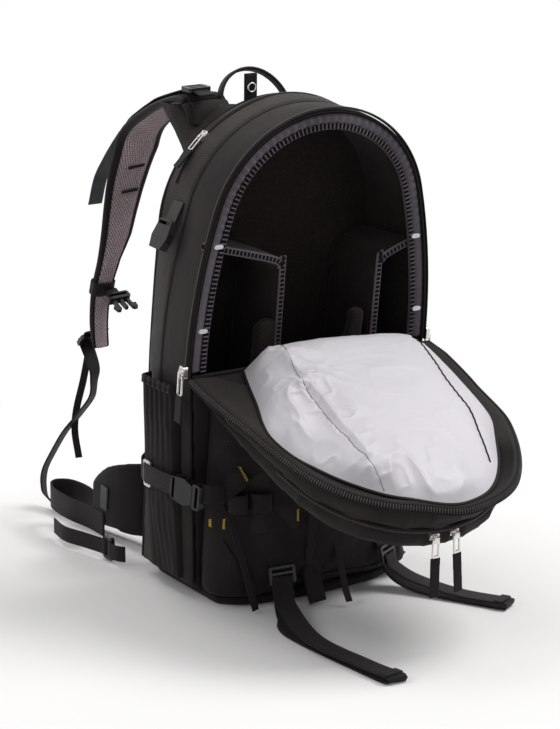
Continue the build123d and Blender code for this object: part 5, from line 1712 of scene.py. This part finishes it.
def world_light(level):
    """White surround: full strength to the camera and in reflections, softer as light."""
    world = bpy.data.worlds.new("Studio")
    world.use_nodes = True
    bpy.context.scene.world = world
    tree = world.node_tree
    tree.nodes.clear()
    path = tree.nodes.new("ShaderNodeLightPath")
    clear, seen = tree.nodes.new("ShaderNodeMath"), tree.nodes.new("ShaderNodeMath")
    clear.operation = seen.operation = "MAXIMUM"
    lit, white = tree.nodes.new("ShaderNodeBackground"), tree.nodes.new("ShaderNodeBackground")
    lit.inputs["Strength"].default_value = level
    white.inputs["Strength"].default_value = 1.0
    lit.inputs["Color"].default_value = (1, 1, 1, 1)
    white.inputs["Color"].default_value = (1, 1, 1, 1)
    mix, end = tree.nodes.new("ShaderNodeMixShader"), tree.nodes.new("ShaderNodeOutputWorld")
    tree.links.new(path.outputs["Is Camera Ray"], clear.inputs[0])
    tree.links.new(path.outputs["Is Transmission Ray"], clear.inputs[1])
    tree.links.new(clear.outputs[0], seen.inputs[0])
    tree.links.new(path.outputs["Is Glossy Ray"], seen.inputs[1])
    tree.links.new(seen.outputs[0], mix.inputs["Fac"])
    tree.links.new(lit.outputs[0], mix.inputs[1])
    tree.links.new(white.outputs[0], mix.inputs[2])
    tree.links.new(mix.outputs[0], end.inputs["Surface"])


def floor():
    """Pale floor that fades into the white surround."""
    g = Graph("Studio floor")
    x, y, _ = g.axes(g.point())
    dist = (x * x + y * y).maths("SQRT")
    g.feed(g.shader.inputs["Alpha"], 1 - dist.between(*FLOOR_FADE))
    g.done((0.93, 0.923, 0.915), 0.75, Specular_IOR_Level=0.15)
    n = 24
    line = np.linspace(-FLOOR_HALF, FLOOR_HALF, n)
    pts = np.stack(np.meshgrid(line, line, indexing="ij") + [np.zeros((n, n))], -1)
    obj = grid("Floor", pts, g.material)


# --- operators ------------------------------------------------------------------------------
def run(steps):
    """Runs the steps of one operator."""
    for step in steps:
        step()
    return {"FINISHED"}


class BACKPACK_OT_shell(bpy.types.Operator):
    """Makes the arched shell, its zips and the boards"""
    bl_idname = "backpack.shell"
    bl_label = "Shell"

    def execute(self, context):
        return run((shell_bands, body_zips, boards))


class BACKPACK_OT_insert(bpy.types.Operator):
    """Makes the padded insert and its dividers"""
    bl_idname = "backpack.insert"
    bl_label = "Insert"

    def execute(self, context):
        return run((insert_foam, dividers))


class BACKPACK_OT_lid(bpy.types.Operator):
    """Makes the lid, its lining and the hinge fabric"""
    bl_idname = "backpack.lid"
    bl_label = "Lid"

    def execute(self, context):
        return run((lid_bowl, lining, hinge_cloth))


class BACKPACK_OT_pockets(bpy.types.Operator):
    """Makes the front and side pockets and their webbing"""
    bl_idname = "backpack.pockets"
    bl_label = "Pockets"

    def execute(self, context):
        return run((front_pocket, front_trim, floor_straps, side_pockets, compression))


class BACKPACK_OT_harness(bpy.types.Operator):
    """Makes the harness, the waist belt and the handle"""
    bl_idname = "backpack.harness"
    bl_label = "Harness"

    def execute(self, context):
        return run((shoulder_pads, yoke_and_pads, yoke_sides, load_lifters, shoulder_webbing, sternum, waist, handles))


class BACKPACK_OT_pulls(bpy.types.Operator):
    """Finishes the zip sliders, pulls and tabs"""
    bl_idname = "backpack.pulls"
    bl_label = "Zip pulls"

    def execute(self, context):
        return run((pulls,))


class BACKPACK_OT_studio(bpy.types.Operator):
    """Sets up the camera, lamps, surround and floor"""
    bl_idname = "backpack.studio"
    bl_label = "Studio"

    def execute(self, context):
        camera()
        for settings in LAMPS:
            lamp(*settings)
        world_light(SURROUND)
        floor()
        context.scene.view_settings.view_transform = "Standard"
        return {"FINISHED"}


class BACKPACK_PT_panel(bpy.types.Panel):
    """Sidebar panel with the steps, colours and sizes"""
    bl_idname = "BACKPACK_PT_panel"
    bl_label = "Backpack"
    bl_space_type = "VIEW_3D"
    bl_region_type = "UI"
    bl_category = "Backpack"

    def draw(self, context):
        column = self.layout.column()
        for step in STEPS:
            column.operator(step.bl_idname)
        for settings in (context.scene.backpack_colours, context.scene.backpack_sizes):
            for name in settings.__annotations__:
                column.prop(settings, name)


STEPS = (BACKPACK_OT_shell, BACKPACK_OT_insert, BACKPACK_OT_lid, BACKPACK_OT_pockets, BACKPACK_OT_harness,
         BACKPACK_OT_pulls, BACKPACK_OT_studio)
CLASSES = (BackpackColours, BackpackSizes, *STEPS, BACKPACK_PT_panel)


def register():
    """Registers the add-on."""
    for cls in CLASSES:
        bpy.utils.register_class(cls)
    bpy.types.Scene.backpack_colours = bpy.props.PointerProperty(type=BackpackColours)
    bpy.types.Scene.backpack_sizes = bpy.props.PointerProperty(type=BackpackSizes)


def unregister():
    """Removes the add-on."""
    del bpy.types.Scene.backpack_sizes
    del bpy.types.Scene.backpack_colours
    for cls in reversed(CLASSES):
        bpy.utils.unregister_class(cls)


def main():
    """Builds everything."""
    register()
    for step in STEPS:
        group, name = step.bl_idname.split(".")
        getattr(getattr(bpy.ops, group), name)()


if __name__ == "__main__":
    main()
